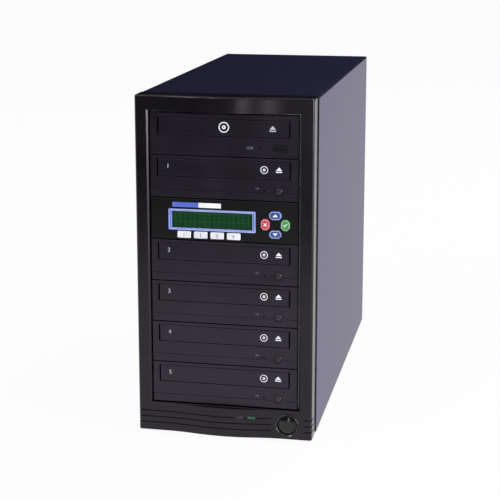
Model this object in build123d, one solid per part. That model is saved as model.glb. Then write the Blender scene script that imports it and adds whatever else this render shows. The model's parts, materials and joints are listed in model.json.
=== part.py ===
from build123d import *
import math
import os

# Disc duplicator tower: a folded steel case with seven half-height bays.
# Millimetres. X to the right seen from the front, -Y out of the front, +Z up.
# The origin is on the floor, at the middle of the outside width and depth.

# ---- driving dimensions: the case ----
OVERALL_DEPTH = 440.0
COVER_WIDTH = 180.0
COVER_SHEET = 1.0
COVER_SIDE_LIP = 12.0
COVER_TOP_LIP = 4.0
STEEL_SHEET = 1.2
FOOT_HEIGHT = 6.0
FOOT_RADIUS = 10.0
FOOT_INSET = 24.0
THUMB_HEAD_LENGTH = 7.0
THUMB_HEAD_RADIUS = 5.0
SCREW_RADIUS = 1.5
SCREW_HEAD_RADIUS = 3.0
SCREW_HEAD_HEIGHT = 1.8
SCREW_LENGTH = 5.0
DRIVE_SCREW_DROP = 8.0
SEAM = 0.6
FLAT_GAP = 0.2

# ---- driving dimensions: the bays ----
BAY_PITCH = 42.3
UNIT_HEIGHT = 42.3
BAY_COUNT = 7
PANEL_BAY = 4
DRIVE_WIDTH = 146.0
DRIVE_HEIGHT = 41.0
DRIVE_DEPTH = 172.0
FACE_WIDTH = 148.0
FACE_HEIGHT = 41.5
FACE_DEPTH = 6.0
FACE_WALL = 2.4
FACE_RECESS = 2.0
DRIVE_SHELL = 0.8

# ---- driving dimensions: the front moulding ----
BEZEL_WIDTH = COVER_WIDTH - 2.0
BEZEL_DEPTH = 23.0
BEZEL_WALL = 2.5
TOP_BAR = 15.5
CHIN = 29.5
OPENING_MARGIN = 1.5
OPENING_CHAMFER = 1.5
OPENING_RIB = 1.5
OPENING_RIB_DEPTH = 12.0
CORNER_RADIUS = 3.0
BOW = 5.0
BOW_HALF_WIDTH = 62.0
GROOVE_HEIGHT = 1.5
GROOVE_DEPTH = 1.2
GROOVE_PITCH = 6.15
GROOVE_TOP_BELOW_BAYS = 9.8
GROOVE_RIGHT_END = 48.0
GROOVE_CORNER_START = 81.5
GROOVE_SIDE_LENGTH = 11.0

# ---- driving dimensions: the power button and lights ----
POWER_X = 63.8
POWER_BELOW_BAYS = 16.4
POWER_BUTTON_RADIUS = 9.2
POWER_RING_RADIUS = POWER_BUTTON_RADIUS + 2.3
POWER_RING_DEPTH = 2.2
POWER_TRAVEL = 2.0
POWER_CROWN = 1.6
COLLAR_DEPTH = 8.0
BUTTON_CLEARANCE = 0.3
FLANGE_PLAY = 0.05
SWITCH_PLAY = 0.15
LENS_SIZE = (7.7, 2.4)
LENS_X = (28.2, 16.2)
SWITCH_BOARD_SETBACK = 14.0

# ---- driving dimensions: the disc tray, measured from the bottom of its drive's bay ----
DISC_RADIUS = 60.0
SMALL_DISC_RADIUS = 40.0
DISC_SETBACK = 69.5
RECESS_CLEARANCE = 0.8
RECESS_DEPTH = 1.6
TRAY_BOTTOM = 24.0
TRAY_THICKNESS = 6.0
TRAY_LENGTH = 160.0
TRAY_LIP = 1.6
TRAY_LIP_RISE = 2.0
TRAY_LIP_HEIGHT = 2.0
LIP_CLEARANCE = 0.2
FLAP_DEPTH = 4.5
FLAP_GAP = 0.4
RAIL_THICKNESS = 5.0
SPINDLE_RADIUS = 14.0
SPINDLE_SLOT = 32.0
SHAFT_RADIUS = 1.5
SHAFT_CLEARANCE = 0.05
DECK_BOTTOM = 12.0
DECK_TOP = 14.0
BEARING_HEIGHT = 3.0

# ---- driving dimensions: the faces of the drives, measured from the bottom of their bay ----
READER_DOOR = (-66.5, 65.6, 20.0, 37.2)
WRITER_DOOR = (-67.5, 66.4, 21.5, 39.0)
READER_EJECT = (56.4, 10.0)
READER_EJECT_SIZE = (16.6, 6.0)
WRITER_EJECT = (54.6, 10.2)
WRITER_EJECT_RADIUS = 3.4
WRITER_DISH_RADIUS = 5.3
WRITER_DISH_DEPTH = 0.7
READER_LAMP = (25.7, 9.8, 6.8, 2.6)
WRITER_LAMP = (33.0, 12.6, 3.6, 1.8)
READER_PINHOLE = (36.0, 9.8)
WRITER_PINHOLE = (40.2, 10.5)
PINHOLE_RADIUS = 0.9
WRITER_GROOVE = (8.3, 9.0)
WRITER_GROOVE_DEPTH = 0.5
FACE_CHAMFER = 0.5
FACE_SKIRT = 1.4
EJECT_TRAVEL = 1.0
EJECT_FLANGE = 1.0

# ---- driving dimensions: the control panel, measured from the bottom of its bay ----
LCD_FRAME = (-56.2, 31.7, 10.1, 31.7)
LCD_GLASS = (-52.4, 28.7, 12.7, 29.4)
LCD_FRAME_DEPTH = 0.6
FUNCTION_KEYS_X = (-40.2, -23.5, -6.9, 9.7)
FUNCTION_KEY_Z = 5.9
FUNCTION_KEY = (13.5, 6.8)
KEY_TRAVEL = 0.8
KEY_PROUD = 1.2
PANEL_WALL = 2.6
NAV_KEYS = {
    "key_up": (51.2, 28.6, 12.6, 8.9),
    "key_down": (51.2, 9.9, 12.4, 8.5),
    "key_escape": (41.2, 19.3, 8.8, 11.2),
    "key_enter": (61.1, 19.3, 8.8, 11.2),
}
BOARD_THICKNESS = 1.6
MAIN_BOARD_DEPTH = 110.0

# ---- driving dimensions: the power supply and fans ----
FAN_SIZE = 80.0
FAN_DEPTH = 25.0
FAN_BORE_RADIUS = FAN_SIZE / 2 - 2.0
PSU_WIDTH = 150.0
PSU_HEIGHT = FAN_SIZE + 6.0
PSU_DEPTH = 140.0
PSU_SHEET = 1.0
PSU_FAN_X = PSU_WIDTH / 2 - FAN_SIZE / 2 - 9.0
FAN_TIP_CLEARANCE = 1.0
FAN_HUB_RADIUS = 17.0
FAN_BLADES = 7
FAN_SCREW_SPACING = FAN_SIZE - 8.5
EXHAUST_Z = 150.0
GUARD_WIRE_RADIUS = 0.8
INLET_SIZE = (-65.0, -37.4, 18.0, 38.5)
ROCKER_SIZE = (-61.0, -41.4, 50.0, 63.0)
SOCKET_DEPTH = 16.0
ROCKER_TILT = 10.0

# ---- driving dimensions: the cables ----
CABLE_RADIUS = 2.5
CABLE_STEP = 2 * CABLE_RADIUS + 2.0
CABLE_FIRST = 16.0
CABLE_BEND = 14.0
DATA_PORT_X = -24.0
POWER_PORT_X = 41.0
POWER_MIDDLE_X = 46.0
POWER_STEP = 2 * CABLE_RADIUS + 1.0

# ---- worked out from the sizes above ----
BEZEL_BOTTOM = FOOT_HEIGHT - 1.0
BAY_FLOOR = BEZEL_BOTTOM + CHIN + 1.0
OPENING_BOTTOM = BEZEL_BOTTOM + CHIN
OPENING_TOP = BAY_FLOOR + BAY_PITCH * BAY_COUNT + 1.4
BEZEL_TOP = OPENING_TOP + TOP_BAR
CREST_Y = -OVERALL_DEPTH / 2
FRONT_Y = CREST_Y + BOW
BEZEL_BACK = FRONT_Y + BEZEL_DEPTH
COVER_FRONT = BEZEL_BACK + SEAM
REAR_Y = OVERALL_DEPTH / 2 - THUMB_HEAD_LENGTH
COVER_TOP = BEZEL_TOP - 1.0
INNER_TOP = COVER_TOP - COVER_SHEET
INNER_HALF = COVER_WIDTH / 2 - COVER_SHEET
PAN_TOP = FOOT_HEIGHT + STEEL_SHEET
REAR_INNER = REAR_Y - COVER_SHEET - STEEL_SHEET
OPENING_HALF = FACE_WIDTH / 2 + OPENING_MARGIN
FACE_Y = FRONT_Y + FACE_RECESS
CHASSIS_FRONT = FACE_Y + FACE_DEPTH
CHASSIS_BACK = CHASSIS_FRONT + DRIVE_DEPTH
CAGE_INNER_HALF = DRIVE_WIDTH / 2 + FLAT_GAP
CAGE_OUTER_HALF = CAGE_INNER_HALF + STEEL_SHEET
CAGE_FRONT = CHASSIS_FRONT + FLAT_GAP
CAGE_TOP = BAY_FLOOR + BAY_PITCH * BAY_COUNT + STEEL_SHEET
CHASSIS_LIFT = (UNIT_HEIGHT - DRIVE_HEIGHT) / 2
FACE_LIFT = (UNIT_HEIGHT - FACE_HEIGHT) / 2
DISC_Y = FACE_Y + DISC_SETBACK
BOW_RADIUS = (BOW_HALF_WIDTH ** 2 + BOW ** 2) / (4 * BOW)
BOW_ANGLE = math.degrees(math.asin(BOW_HALF_WIDTH / 2 / BOW_RADIUS))
PSU_TOP = INNER_TOP - 1.0
PSU_BOTTOM = PSU_TOP - PSU_HEIGHT
PSU_FRONT = REAR_INNER - PSU_DEPTH
POWER_Z = BAY_FLOOR - POWER_BELOW_BAYS
POWER_FLANGE_FRONT = FRONT_Y + COLLAR_DEPTH + FLANGE_PLAY
SWITCH_BOARD_FRONT = FRONT_Y + SWITCH_BOARD_SETBACK
TRAY_WIDTH = 2 * (READER_DOOR[1] - TRAY_LIP - LIP_CLEARANCE)
PANEL_BOARD_Y = FACE_Y + 11.0
MAIN_BOARD_BACK = PANEL_BOARD_Y + BOARD_THICKNESS + MAIN_BOARD_DEPTH
INLET_CUT = (INLET_SIZE[0], INLET_SIZE[1], PSU_BOTTOM + INLET_SIZE[2], PSU_BOTTOM + INLET_SIZE[3])
ROCKER_CUT = (ROCKER_SIZE[0], ROCKER_SIZE[1], PSU_BOTTOM + ROCKER_SIZE[2], PSU_BOTTOM + ROCKER_SIZE[3])

WRITER_BAYS = {5: 1, 3: 2, 2: 3, 1: 4, 0: 5}
READER_BAY = 6

PARTS = {}


# ---- helpers ----
def box(x0, x1, y0, y1, z0, z1):
    """A block between two corners."""
    size = (x1 - x0, y1 - y0, z1 - z0)
    centre = ((x0 + x1) / 2, (y0 + y1) / 2, (z0 + z1) / 2)
    return Pos(*centre) * Box(*size)


def rod_y(radius, x, z, y0, y1):
    """A round bar along Y."""
    return Pos(x, (y0 + y1) / 2, z) * Rot(90, 0, 0) * Cylinder(radius, y1 - y0)


def rod_x(radius, y, z, x0, x1):
    """A round bar along X."""
    return Pos((x0 + x1) / 2, y, z) * Rot(0, 90, 0) * Cylinder(radius, x1 - x0)


def cone_y(radius_front, radius_back, x, z, y0, y1):
    """A taper along Y, from the radius at y0 to the radius at y1."""
    return Pos(x, (y0 + y1) / 2, z) * Rot(-90, 0, 0) * Cone(radius_front, radius_back, y1 - y0)


def prism_y(outline, x, z, y0, y1):
    """An outline drawn as seen from the front, from y0 back to y1."""
    front = Plane(origin=(x, y0, z), x_dir=(1, 0, 0), z_dir=(0, 1, 0))
    flipped = mirror(outline, about=Plane.XZ)
    return extrude(front * flipped, y1 - y0)


def bay_floor(bay):
    return BAY_FLOOR + BAY_PITCH * bay


def unit_floor(bay):
    """Bottom of the unit that sits in the middle of a bay."""
    return bay_floor(bay) + (BAY_PITCH - UNIT_HEIGHT) / 2


def add(name, *pieces):
    """Files the pieces of one node."""
    solids = [solid for piece in pieces for solid in piece.solids()]
    PARTS[name] = solids


# ---- case ----
def outer_cover():
    """One sheet folded into two sides and a top, with a lip round its back."""
    half = COVER_WIDTH / 2
    shell = box(-half, half, COVER_FRONT, REAR_Y, FOOT_HEIGHT, COVER_TOP)
    long_edges = shell.edges().filter_by(Axis.Y).group_by(Axis.Z)[-1]
    shell = fillet(long_edges, 2.0)
    inside = box(-INNER_HALF, INNER_HALF, COVER_FRONT, REAR_Y - COVER_SHEET, FOOT_HEIGHT, INNER_TOP)
    back = box(-half + COVER_SIDE_LIP, half - COVER_SIDE_LIP, REAR_Y - COVER_SHEET, REAR_Y,
               FOOT_HEIGHT, COVER_TOP - COVER_TOP_LIP)
    shell = shell - inside - back
    for x, z in thumb_places():
        shell -= rod_y(SCREW_RADIUS + 0.3, x, z, REAR_Y - COVER_SHEET, REAR_Y)
    return shell


def thumb_places():
    """Three screws down each side of the back."""
    x = COVER_WIDTH / 2 - 6
    low, high = FOOT_HEIGHT + 18.0, COVER_TOP - 19.5
    return [(side * x, z) for side in (-1, 1) for z in (low, (low + high) / 2, high)]


def psu_screw_places():
    """Four screws near the corners of the power supply."""
    middle = (PSU_TOP + PSU_BOTTOM) / 2
    x = PSU_WIDTH / 2 - 6
    z = PSU_HEIGHT / 2 - 6
    return [(sx * x, middle + sz * z) for sx in (-1, 1) for sz in (-1, 1)]


def fan_screw_places(z):
    reach = FAN_SCREW_SPACING / 2
    return [(sx * reach, z + sz * reach) for sx in (-1, 1) for sz in (-1, 1)]


def base_pan():
    """Floor of the case with low side walls that the cover slides over."""
    wall = 16.0
    floor = box(-INNER_HALF, INNER_HALF, COVER_FRONT, REAR_INNER, FOOT_HEIGHT, PAN_TOP)
    pan = floor
    for side in (-1, 1):
        outer = side * (INNER_HALF - FLAT_GAP)
        inner = side * (INNER_HALF - FLAT_GAP - STEEL_SHEET)
        pan += box(min(inner, outer), max(inner, outer), COVER_FRONT, REAR_INNER,
                   FOOT_HEIGHT, FOOT_HEIGHT + wall)
    for row in range(5):
        y = REAR_Y - 173 + row * 14
        pan -= Pos(0, y, FOOT_HEIGHT) * extrude(SlotOverall(80, 5), STEEL_SHEET * 3, both=True)
    for x, y in foot_places():
        pan -= Pos(x, y, FOOT_HEIGHT) * Cylinder(SCREW_RADIUS, STEEL_SHEET * 4)
    return pan


def foot_places():
    x = COVER_WIDTH / 2 - FOOT_INSET
    return [(-x, COVER_FRONT + 30), (x, COVER_FRONT + 30), (-x, REAR_Y - 30), (x, REAR_Y - 30)]


def feet():
    """Four rubber feet, each held by a rivet through the floor."""
    pieces = []
    for x, y in foot_places():
        foot = Pos(x, y, FOOT_HEIGHT / 2) * Cone(FOOT_RADIUS - 1, FOOT_RADIUS, FOOT_HEIGHT)
        foot -= Pos(x, y, 1.5) * Cylinder(4, 3)
        rivet = Pos(x, y, FOOT_HEIGHT + STEEL_SHEET / 2) * Cylinder(SCREW_RADIUS, STEEL_SHEET)
        head = Pos(x, y, PAN_TOP + 0.6) * Cylinder(3.5, 1.2)
        pieces.append(foot + rivet + head)
    return pieces


def rear_panel():
    """Back plate with the cut-outs for the power supply and the fan."""
    half = INNER_HALF - FLAT_GAP
    plate = box(-half, half, REAR_INNER, REAR_INNER + STEEL_SHEET, FOOT_HEIGHT, INNER_TOP - FLAT_GAP)
    front, back = REAR_INNER, REAR_INNER + STEEL_SHEET
    rim = 8.0
    left, right = -PSU_WIDTH / 2 + rim, PSU_WIDTH / 2 - rim
    corner = 7.0
    window = box(left, right, front, back, PSU_BOTTOM + rim + corner, PSU_TOP - rim - corner)
    window += box(left + corner, right - corner, front, back, PSU_BOTTOM + rim, PSU_TOP - rim)
    plate -= window
    plate -= rod_y(FAN_BORE_RADIUS, 0, EXHAUST_Z, front, back)
    for x, z in psu_screw_places() + fan_screw_places(EXHAUST_Z):
        plate -= rod_y(SCREW_RADIUS, x, z, front, back)
    for x, z in thumb_places():
        plate -= rod_y(SCREW_RADIUS, x, z, front, back)
    for column in range(2):
        for row in range(6):
            x = -34 + column * 68
            z = 34 + row * 11
            plate -= prism_y(SlotOverall(56, 4.5), x, z, front, back)
    return plate


def drive_cage():
    """Two side plates, a floor shelf and a top, with flanges that carry the front moulding."""
    back = CHASSIS_BACK - 20
    pieces = []
    for side in (-1, 1):
        inner, outer = side * CAGE_INNER_HALF, side * CAGE_OUTER_HALF
        plate = box(min(inner, outer), max(inner, outer), CAGE_FRONT, back, BAY_FLOOR, CAGE_TOP)
        plate += box(min(inner, outer), max(inner, outer), COVER_FRONT, back, PAN_TOP, BAY_FLOOR)
        for bay in range(BAY_COUNT):
            z = bay_floor(bay) + BAY_PITCH / 2
            slot = Pos(side * (CAGE_INNER_HALF + STEEL_SHEET / 2), CHASSIS_FRONT + 77, z)
            plate -= slot * Rot(0, 90, 0) * Box(14, 50, STEEL_SHEET * 3)
            for y in drive_screw_places():
                middle = side * (CAGE_INNER_HALF + STEEL_SHEET / 2)
                plate -= rod_x(SCREW_RADIUS, y, z - DRIVE_SCREW_DROP,
                               middle - STEEL_SHEET, middle + STEEL_SHEET)
        flange_edge = side * (INNER_HALF - 2.0)
        pan_clear = FOOT_HEIGHT + 20
        flange = box(min(outer, flange_edge), max(outer, flange_edge), BEZEL_BACK, BEZEL_BACK + STEEL_SHEET,
                     pan_clear, CAGE_TOP)
        pieces.append(plate + flange)
    shelf = box(-CAGE_INNER_HALF, CAGE_INNER_HALF, COVER_FRONT, back, BAY_FLOOR - STEEL_SHEET, BAY_FLOOR)
    top = box(-CAGE_INNER_HALF, CAGE_INNER_HALF, CAGE_FRONT, back, CAGE_TOP - STEEL_SHEET, CAGE_TOP)
    cage = pieces[0] + pieces[1] + shelf + top
    return cage


def drive_screw_places():
    """Two screws on each side of a drive."""
    return (CHASSIS_FRONT + 47.0, CHASSIS_FRONT + 126.0)


def side_screw(side, y, z):
    """A pan-head screw from the cage into the side of a drive."""
    head_in = CAGE_OUTER_HALF
    head_out = CAGE_OUTER_HALF + SCREW_HEAD_HEIGHT
    shank_in = DRIVE_WIDTH / 2
    head = rod_x(SCREW_HEAD_RADIUS, y, z, head_in, head_out)
    shank = rod_x(SCREW_RADIUS - FLAT_GAP / 2, y, z, shank_in, head_in)
    screw = head + shank
    return screw if side > 0 else mirror(screw, about=Plane.YZ)


def case_screws():
    """Thumb screws of the cover, screws of the supply and the fan, and the drives' side screws."""
    pieces = []
    for x, z in thumb_places():
        head = rod_y(THUMB_HEAD_RADIUS, x, z, REAR_Y, REAR_Y + THUMB_HEAD_LENGTH)
        for turn in range(12):
            angle = math.radians(30 * turn)
            reach = THUMB_HEAD_RADIUS + 0.2
            head -= rod_y(0.7, x + reach * math.cos(angle), z + reach * math.sin(angle),
                          REAR_Y + 1.5, REAR_Y + THUMB_HEAD_LENGTH)
        shank = rod_y(SCREW_RADIUS - 0.1, x, z, REAR_INNER - 3, REAR_Y)
        pieces.append(head + shank)
    plate_back = REAR_INNER + STEEL_SHEET
    for x, z in psu_screw_places():
        head = rod_y(SCREW_HEAD_RADIUS, x, z, plate_back, plate_back + SCREW_HEAD_HEIGHT)
        shank = rod_y(SCREW_RADIUS - 0.1, x, z, REAR_INNER - PSU_SHEET, plate_back)
        pieces.append(head + shank)
    for x, z in fan_screw_places(EXHAUST_Z):
        head_front = plate_back + 4 * GUARD_WIRE_RADIUS
        head = rod_y(SCREW_HEAD_RADIUS, x, z, head_front, head_front + SCREW_HEAD_HEIGHT)
        shank = rod_y(SCREW_RADIUS - 0.1, x, z, REAR_INNER - SCREW_LENGTH, head_front)
        pieces.append(head + shank)
    for bay in range(BAY_COUNT):
        if bay == PANEL_BAY:
            continue
        for side in (-1, 1):
            for y in drive_screw_places():
                pieces.append(side_screw(side, y, bay_floor(bay) + BAY_PITCH / 2 - DRIVE_SCREW_DROP))
    return pieces


# ---- front moulding ----
def bezel_plan(inset, bowed=True):
    """Outline of the moulding seen from above, drawn in by an inset at the front and sides."""
    half = BEZEL_WIDTH / 2 - inset
    front = FRONT_Y + inset
    back = BEZEL_BACK
    radius = max(CORNER_RADIUS - inset, 0.4)
    if bowed:
        first = JernArc((-BOW_HALF_WIDTH, front), (1, 0), BOW_RADIUS, -BOW_ANGLE)
        crest = JernArc(first @ 1, first % 1, BOW_RADIUS, 2 * BOW_ANGLE)
        last = JernArc(crest @ 1, crest % 1, BOW_RADIUS, -BOW_ANGLE)
        edges = [Line((-half, front), (-BOW_HALF_WIDTH, front)), first, crest, last,
                 Line(last @ 1, (half, front))]
    else:
        edges = [Line((-half, front), (half, front))]
    edges += [Line((half, front), (half, back)), Line((half, back), (-half, back)),
              Line((-half, back), (-half, front))]
    face = make_face(edges)
    corners = [v for v in face.vertices() if abs(abs(v.X) - half) < 0.01 and abs(v.Y - front) < 0.01]
    return fillet(corners, radius)


def bezel_slab(inset, z0, z1, bowed=True):
    return Pos(0, 0, z0) * extrude(bezel_plan(inset, bowed), z1 - z0)


def groove_levels():
    return [BAY_FLOOR - GROOVE_TOP_BELOW_BAYS - GROOVE_PITCH * i for i in range(3)]


def front_bezel():
    """One moulding: a bowed top bar and chin joined by two stiles, hollow behind."""
    body = bezel_slab(0, BEZEL_BOTTOM, OPENING_BOTTOM)
    body += bezel_slab(0, OPENING_TOP, BEZEL_TOP)
    body += bezel_slab(0, OPENING_BOTTOM, OPENING_TOP, bowed=False)
    top_edges = body.faces().sort_by(Axis.Z)[-1].edges()
    top_edges = [e for e in top_edges if e.center().Y < BEZEL_BACK - 1]
    body = fillet(top_edges, 2.0)
    hollow = bezel_slab(BEZEL_WALL, BEZEL_BOTTOM + BEZEL_WALL, OPENING_BOTTOM - BEZEL_WALL)
    hollow += bezel_slab(BEZEL_WALL, OPENING_TOP + BEZEL_WALL, BEZEL_TOP - BEZEL_WALL)
    rib_outer = OPENING_HALF + OPENING_RIB
    stile = bezel_slab(BEZEL_WALL, OPENING_BOTTOM - BEZEL_WALL, OPENING_TOP + BEZEL_WALL, bowed=False)
    stile -= box(-rib_outer, rib_outer, FRONT_Y, FRONT_Y + OPENING_RIB_DEPTH, OPENING_BOTTOM - BEZEL_WALL,
                 OPENING_TOP + BEZEL_WALL)
    body = body - hollow - stile
    opening = box(-OPENING_HALF, OPENING_HALF, CREST_Y, BEZEL_BACK, OPENING_BOTTOM, OPENING_TOP)
    body -= opening
    body -= opening_bevel()
    body -= chin_grooves()
    body -= rod_y(POWER_BUTTON_RADIUS + BUTTON_CLEARANCE, POWER_X, POWER_Z, CREST_Y, BEZEL_BACK)
    body -= cone_y(POWER_RING_RADIUS, POWER_BUTTON_RADIUS + BUTTON_CLEARANCE, POWER_X, POWER_Z, FRONT_Y,
                   FRONT_Y + POWER_RING_DEPTH)
    collar = rod_y(POWER_RING_RADIUS, POWER_X, POWER_Z, FRONT_Y + BEZEL_WALL - 0.1, FRONT_Y + COLLAR_DEPTH)
    collar -= rod_y(POWER_BUTTON_RADIUS + BUTTON_CLEARANCE, POWER_X, POWER_Z, CREST_Y, BEZEL_BACK)
    body += collar
    for x in LENS_X:
        body -= lens_block(x, 0.1, CREST_Y, BEZEL_BACK - 8.0)
    for side in (-1, 1):
        for z in (60.0, (OPENING_BOTTOM + OPENING_TOP) / 2, OPENING_TOP - 20):
            inner, outer = side * (rib_outer + 0.5), side * (BEZEL_WIDTH / 2 - BEZEL_WALL + 0.1)
            body += box(min(inner, outer), max(inner, outer), FRONT_Y + BEZEL_WALL - 0.1, BEZEL_BACK,
                        z - 4, z + 4)
    for x in board_post_places():
        for z in (12.5, 28.5):
            post = rod_y(2.0, x, z, CREST_Y, SWITCH_BOARD_FRONT)
            body += post & bezel_slab(1.0, BEZEL_BOTTOM, OPENING_BOTTOM)
    return body


def opening_bevel():
    """A small bevel round the front edge of the opening."""
    depth = OPENING_CHAMFER
    front = Plane(origin=(0, FRONT_Y, (OPENING_BOTTOM + OPENING_TOP) / 2), x_dir=(1, 0, 0), z_dir=(0, 1, 0))
    height = OPENING_TOP - OPENING_BOTTOM
    wide = Rectangle(2 * (OPENING_HALF + depth), height + 2 * depth)
    narrow = Rectangle(2 * OPENING_HALF, height)
    return loft([front * wide, front.offset(depth) * narrow])


def chin_grooves():
    """Three grooves along the chin, and three short ones round its right corner."""
    core = bezel_plan(GROOVE_DEPTH)
    reach = BEZEL_WIDTH
    spans = [(-reach, GROOVE_RIGHT_END), (GROOVE_CORNER_START, reach)]
    cuts = []
    for z in groove_levels():
        for x0, x1 in spans:
            ring = box(x0, x1, CREST_Y - 5, FRONT_Y + GROOVE_SIDE_LENGTH,
                       z - GROOVE_HEIGHT / 2, z + GROOVE_HEIGHT / 2)
            ring -= Pos(0, 0, z - GROOVE_HEIGHT) * extrude(core, 2 * GROOVE_HEIGHT)
            cuts.append(ring)
    return cuts


def board_post_places():
    return (8.0, 46.0)


def lens_block(x, clearance, y0, y1):
    width, height = LENS_SIZE
    z = groove_levels()[0]
    return box(x - width / 2 - clearance, x + width / 2 + clearance, y0, y1,
               z - height / 2 - clearance, z + height / 2 + clearance)


def chin_lens(x):
    """A light pipe whose front follows the bow just inside the surface."""
    pipe = lens_block(x, 0, CREST_Y, SWITCH_BOARD_FRONT - FLAT_GAP)
    inside = bezel_slab(0.4, BEZEL_BOTTOM, OPENING_BOTTOM)
    return pipe & inside


def power_button():
    """A round button with a domed front and a flange behind the collar."""
    crown = POWER_CROWN
    front = FRONT_Y - 0.4
    flange_front = POWER_FLANGE_FRONT
    stem = rod_y(POWER_BUTTON_RADIUS, POWER_X, POWER_Z, front + crown, flange_front)
    sphere_radius = (POWER_BUTTON_RADIUS ** 2 + crown ** 2) / (2 * crown)
    ball = Pos(POWER_X, front + sphere_radius, POWER_Z) * Sphere(sphere_radius)
    dome = ball & rod_y(POWER_BUTTON_RADIUS, POWER_X, POWER_Z, front - 1, front + crown)
    flange = rod_y(POWER_BUTTON_RADIUS + 1.5, POWER_X, POWER_Z, flange_front, flange_front + 1.2)
    return stem + dome + flange


def front_switch_board():
    """Small circuit board behind the chin with the power switch and two lamps."""
    front = SWITCH_BOARD_FRONT
    board = box(4, 78, front, front + BOARD_THICKNESS, 9, 32)
    switch_front = POWER_FLANGE_FRONT + 1.2 + POWER_TRAVEL + SWITCH_PLAY
    switch = box(POWER_X - 5, POWER_X + 5, switch_front, front, POWER_Z - 5, POWER_Z + 5)
    plug = box(12, 26, front + BOARD_THICKNESS, front + 8, 13, 19)
    return [board, switch, plug]


# ---- drives ----
def drive_name(bay):
    return "reader" if bay == READER_BAY else "writer_%d" % WRITER_BAYS[bay]


def door_sizes(bay):
    """Left, right, bottom and top of the tray door, from the bay's floor."""
    return READER_DOOR if bay == READER_BAY else WRITER_DOOR


def eject_place(bay):
    return READER_EJECT if bay == READER_BAY else WRITER_EJECT


def eject_outline(bay, grow):
    """The reader has a long rounded button, the writers a round one."""
    if bay == READER_BAY:
        width, height = READER_EJECT_SIZE
        return SlotOverall(width + 2 * grow, height + 2 * grow)
    return Circle(WRITER_EJECT_RADIUS + grow)


def drive_bezel(bay):
    """Thin face plate with the door opening, the button hole and the emergency hole."""
    floor = unit_floor(bay)
    z0, z1 = floor + FACE_LIFT, floor + FACE_LIFT + FACE_HEIGHT
    half = FACE_WIDTH / 2
    plate = box(-half, half, FACE_Y, FACE_Y + FACE_DEPTH, z0, z1)
    plate = chamfer(plate.faces().sort_by(Axis.Y)[0].edges(), FACE_CHAMFER)
    skirt = FACE_SKIRT
    plate -= box(-half + skirt, half - skirt, FACE_Y + FACE_WALL, FACE_Y + FACE_DEPTH, z0 + skirt, z1 - skirt)
    left, right, low, high = door_sizes(bay)
    plate -= box(left, right, FACE_Y, FACE_Y + FACE_DEPTH, floor + low, floor + high)
    x, z = eject_place(bay)
    plate -= prism_y(eject_outline(bay, BUTTON_CLEARANCE), x, floor + z, FACE_Y, FACE_Y + FACE_WALL)
    pin_x, pin_z = READER_PINHOLE if bay == READER_BAY else WRITER_PINHOLE
    plate -= rod_y(PINHOLE_RADIUS, pin_x, floor + pin_z, FACE_Y, FACE_Y + FACE_WALL)
    plate -= led_block(bay, 0.1)
    if bay != READER_BAY:
        plate -= prism_y(Circle(WRITER_DISH_RADIUS), x, floor + z, FACE_Y, FACE_Y + WRITER_DISH_DEPTH)
        low, high = WRITER_GROOVE
        groove = box(-half, half, FACE_Y, FACE_Y + WRITER_GROOVE_DEPTH, floor + low, floor + high)
        plate -= groove - prism_y(Circle(WRITER_DISH_RADIUS + 0.9), x, floor + z, FACE_Y - 1, FACE_Y + 2)
    return plate


def led_block(bay, grow):
    """Window of the activity lamp, as a block."""
    floor = unit_floor(bay)
    x, z, width, height = READER_LAMP if bay == READER_BAY else WRITER_LAMP
    return box(x - width / 2 - grow, x + width / 2 + grow, FACE_Y + (0.15 if grow == 0 else 0),
               FACE_Y + FACE_WALL, floor + z - height / 2 - grow, floor + z + height / 2 + grow)


def drive_chassis(bay):
    """Folded steel shells round a loader deck, a circuit board and the rear sockets."""
    floor = unit_floor(bay)
    z0 = floor + CHASSIS_LIFT
    z1 = z0 + DRIVE_HEIGHT
    half = DRIVE_WIDTH / 2
    front, back = CHASSIS_FRONT, CHASSIS_BACK
    wall = DRIVE_SHELL
    lower = box(-half, half, front, back, z0, z0 + 22)
    lower -= box(-half + wall, half - wall, front, back - wall, z0 + wall, z0 + 22)
    lower -= box(-60, 62, back - wall, back, z0 + 4, z0 + 14)
    upper = box(-half, half, front, back, z0 + 22 + FLAT_GAP, z1)
    upper -= box(-half + wall, half - wall, front, back - wall, z0 + 22 + FLAT_GAP, z1 - wall)
    for side in (-1, 1):
        for y in drive_screw_places():
            screw_z = floor + UNIT_HEIGHT / 2 - DRIVE_SCREW_DROP
            lower -= rod_x(SCREW_RADIUS, y, screw_z, side * half - 2, side * half + 2)
    board_z = z0 + wall + 3.0
    board_top = board_z + BOARD_THICKNESS
    board = box(-half + wall + 1, half - wall - 1, back - 100, back - wall - 1, board_z, board_top)
    standoffs = [Pos(x, y, board_z - 1.5) * Cylinder(2.5, 3.0)
                 for x in (-60, 60) for y in (back - 92, back - 12)]
    data_socket = box(-48, 0, back - 12, back, board_top, board_z + 9)
    power_socket = box(30, 52, back - 12, back, board_top, board_z + 9)
    deck = loader_deck(floor)
    x, z = eject_place(bay)
    switch_front = FACE_Y + FACE_WALL + FLANGE_PLAY + EJECT_FLANGE + EJECT_TRAVEL + 0.2
    switch = box(x - 3, x + 3, switch_front, switch_front + 6, floor + z - 3, floor + z + 3)
    arm = box(x - 3, x + 3, switch_front + 6, front + 14, z0 + wall, floor + z + 3)
    return [lower, upper, board, data_socket, power_socket, deck, switch + arm] + standoffs


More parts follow.
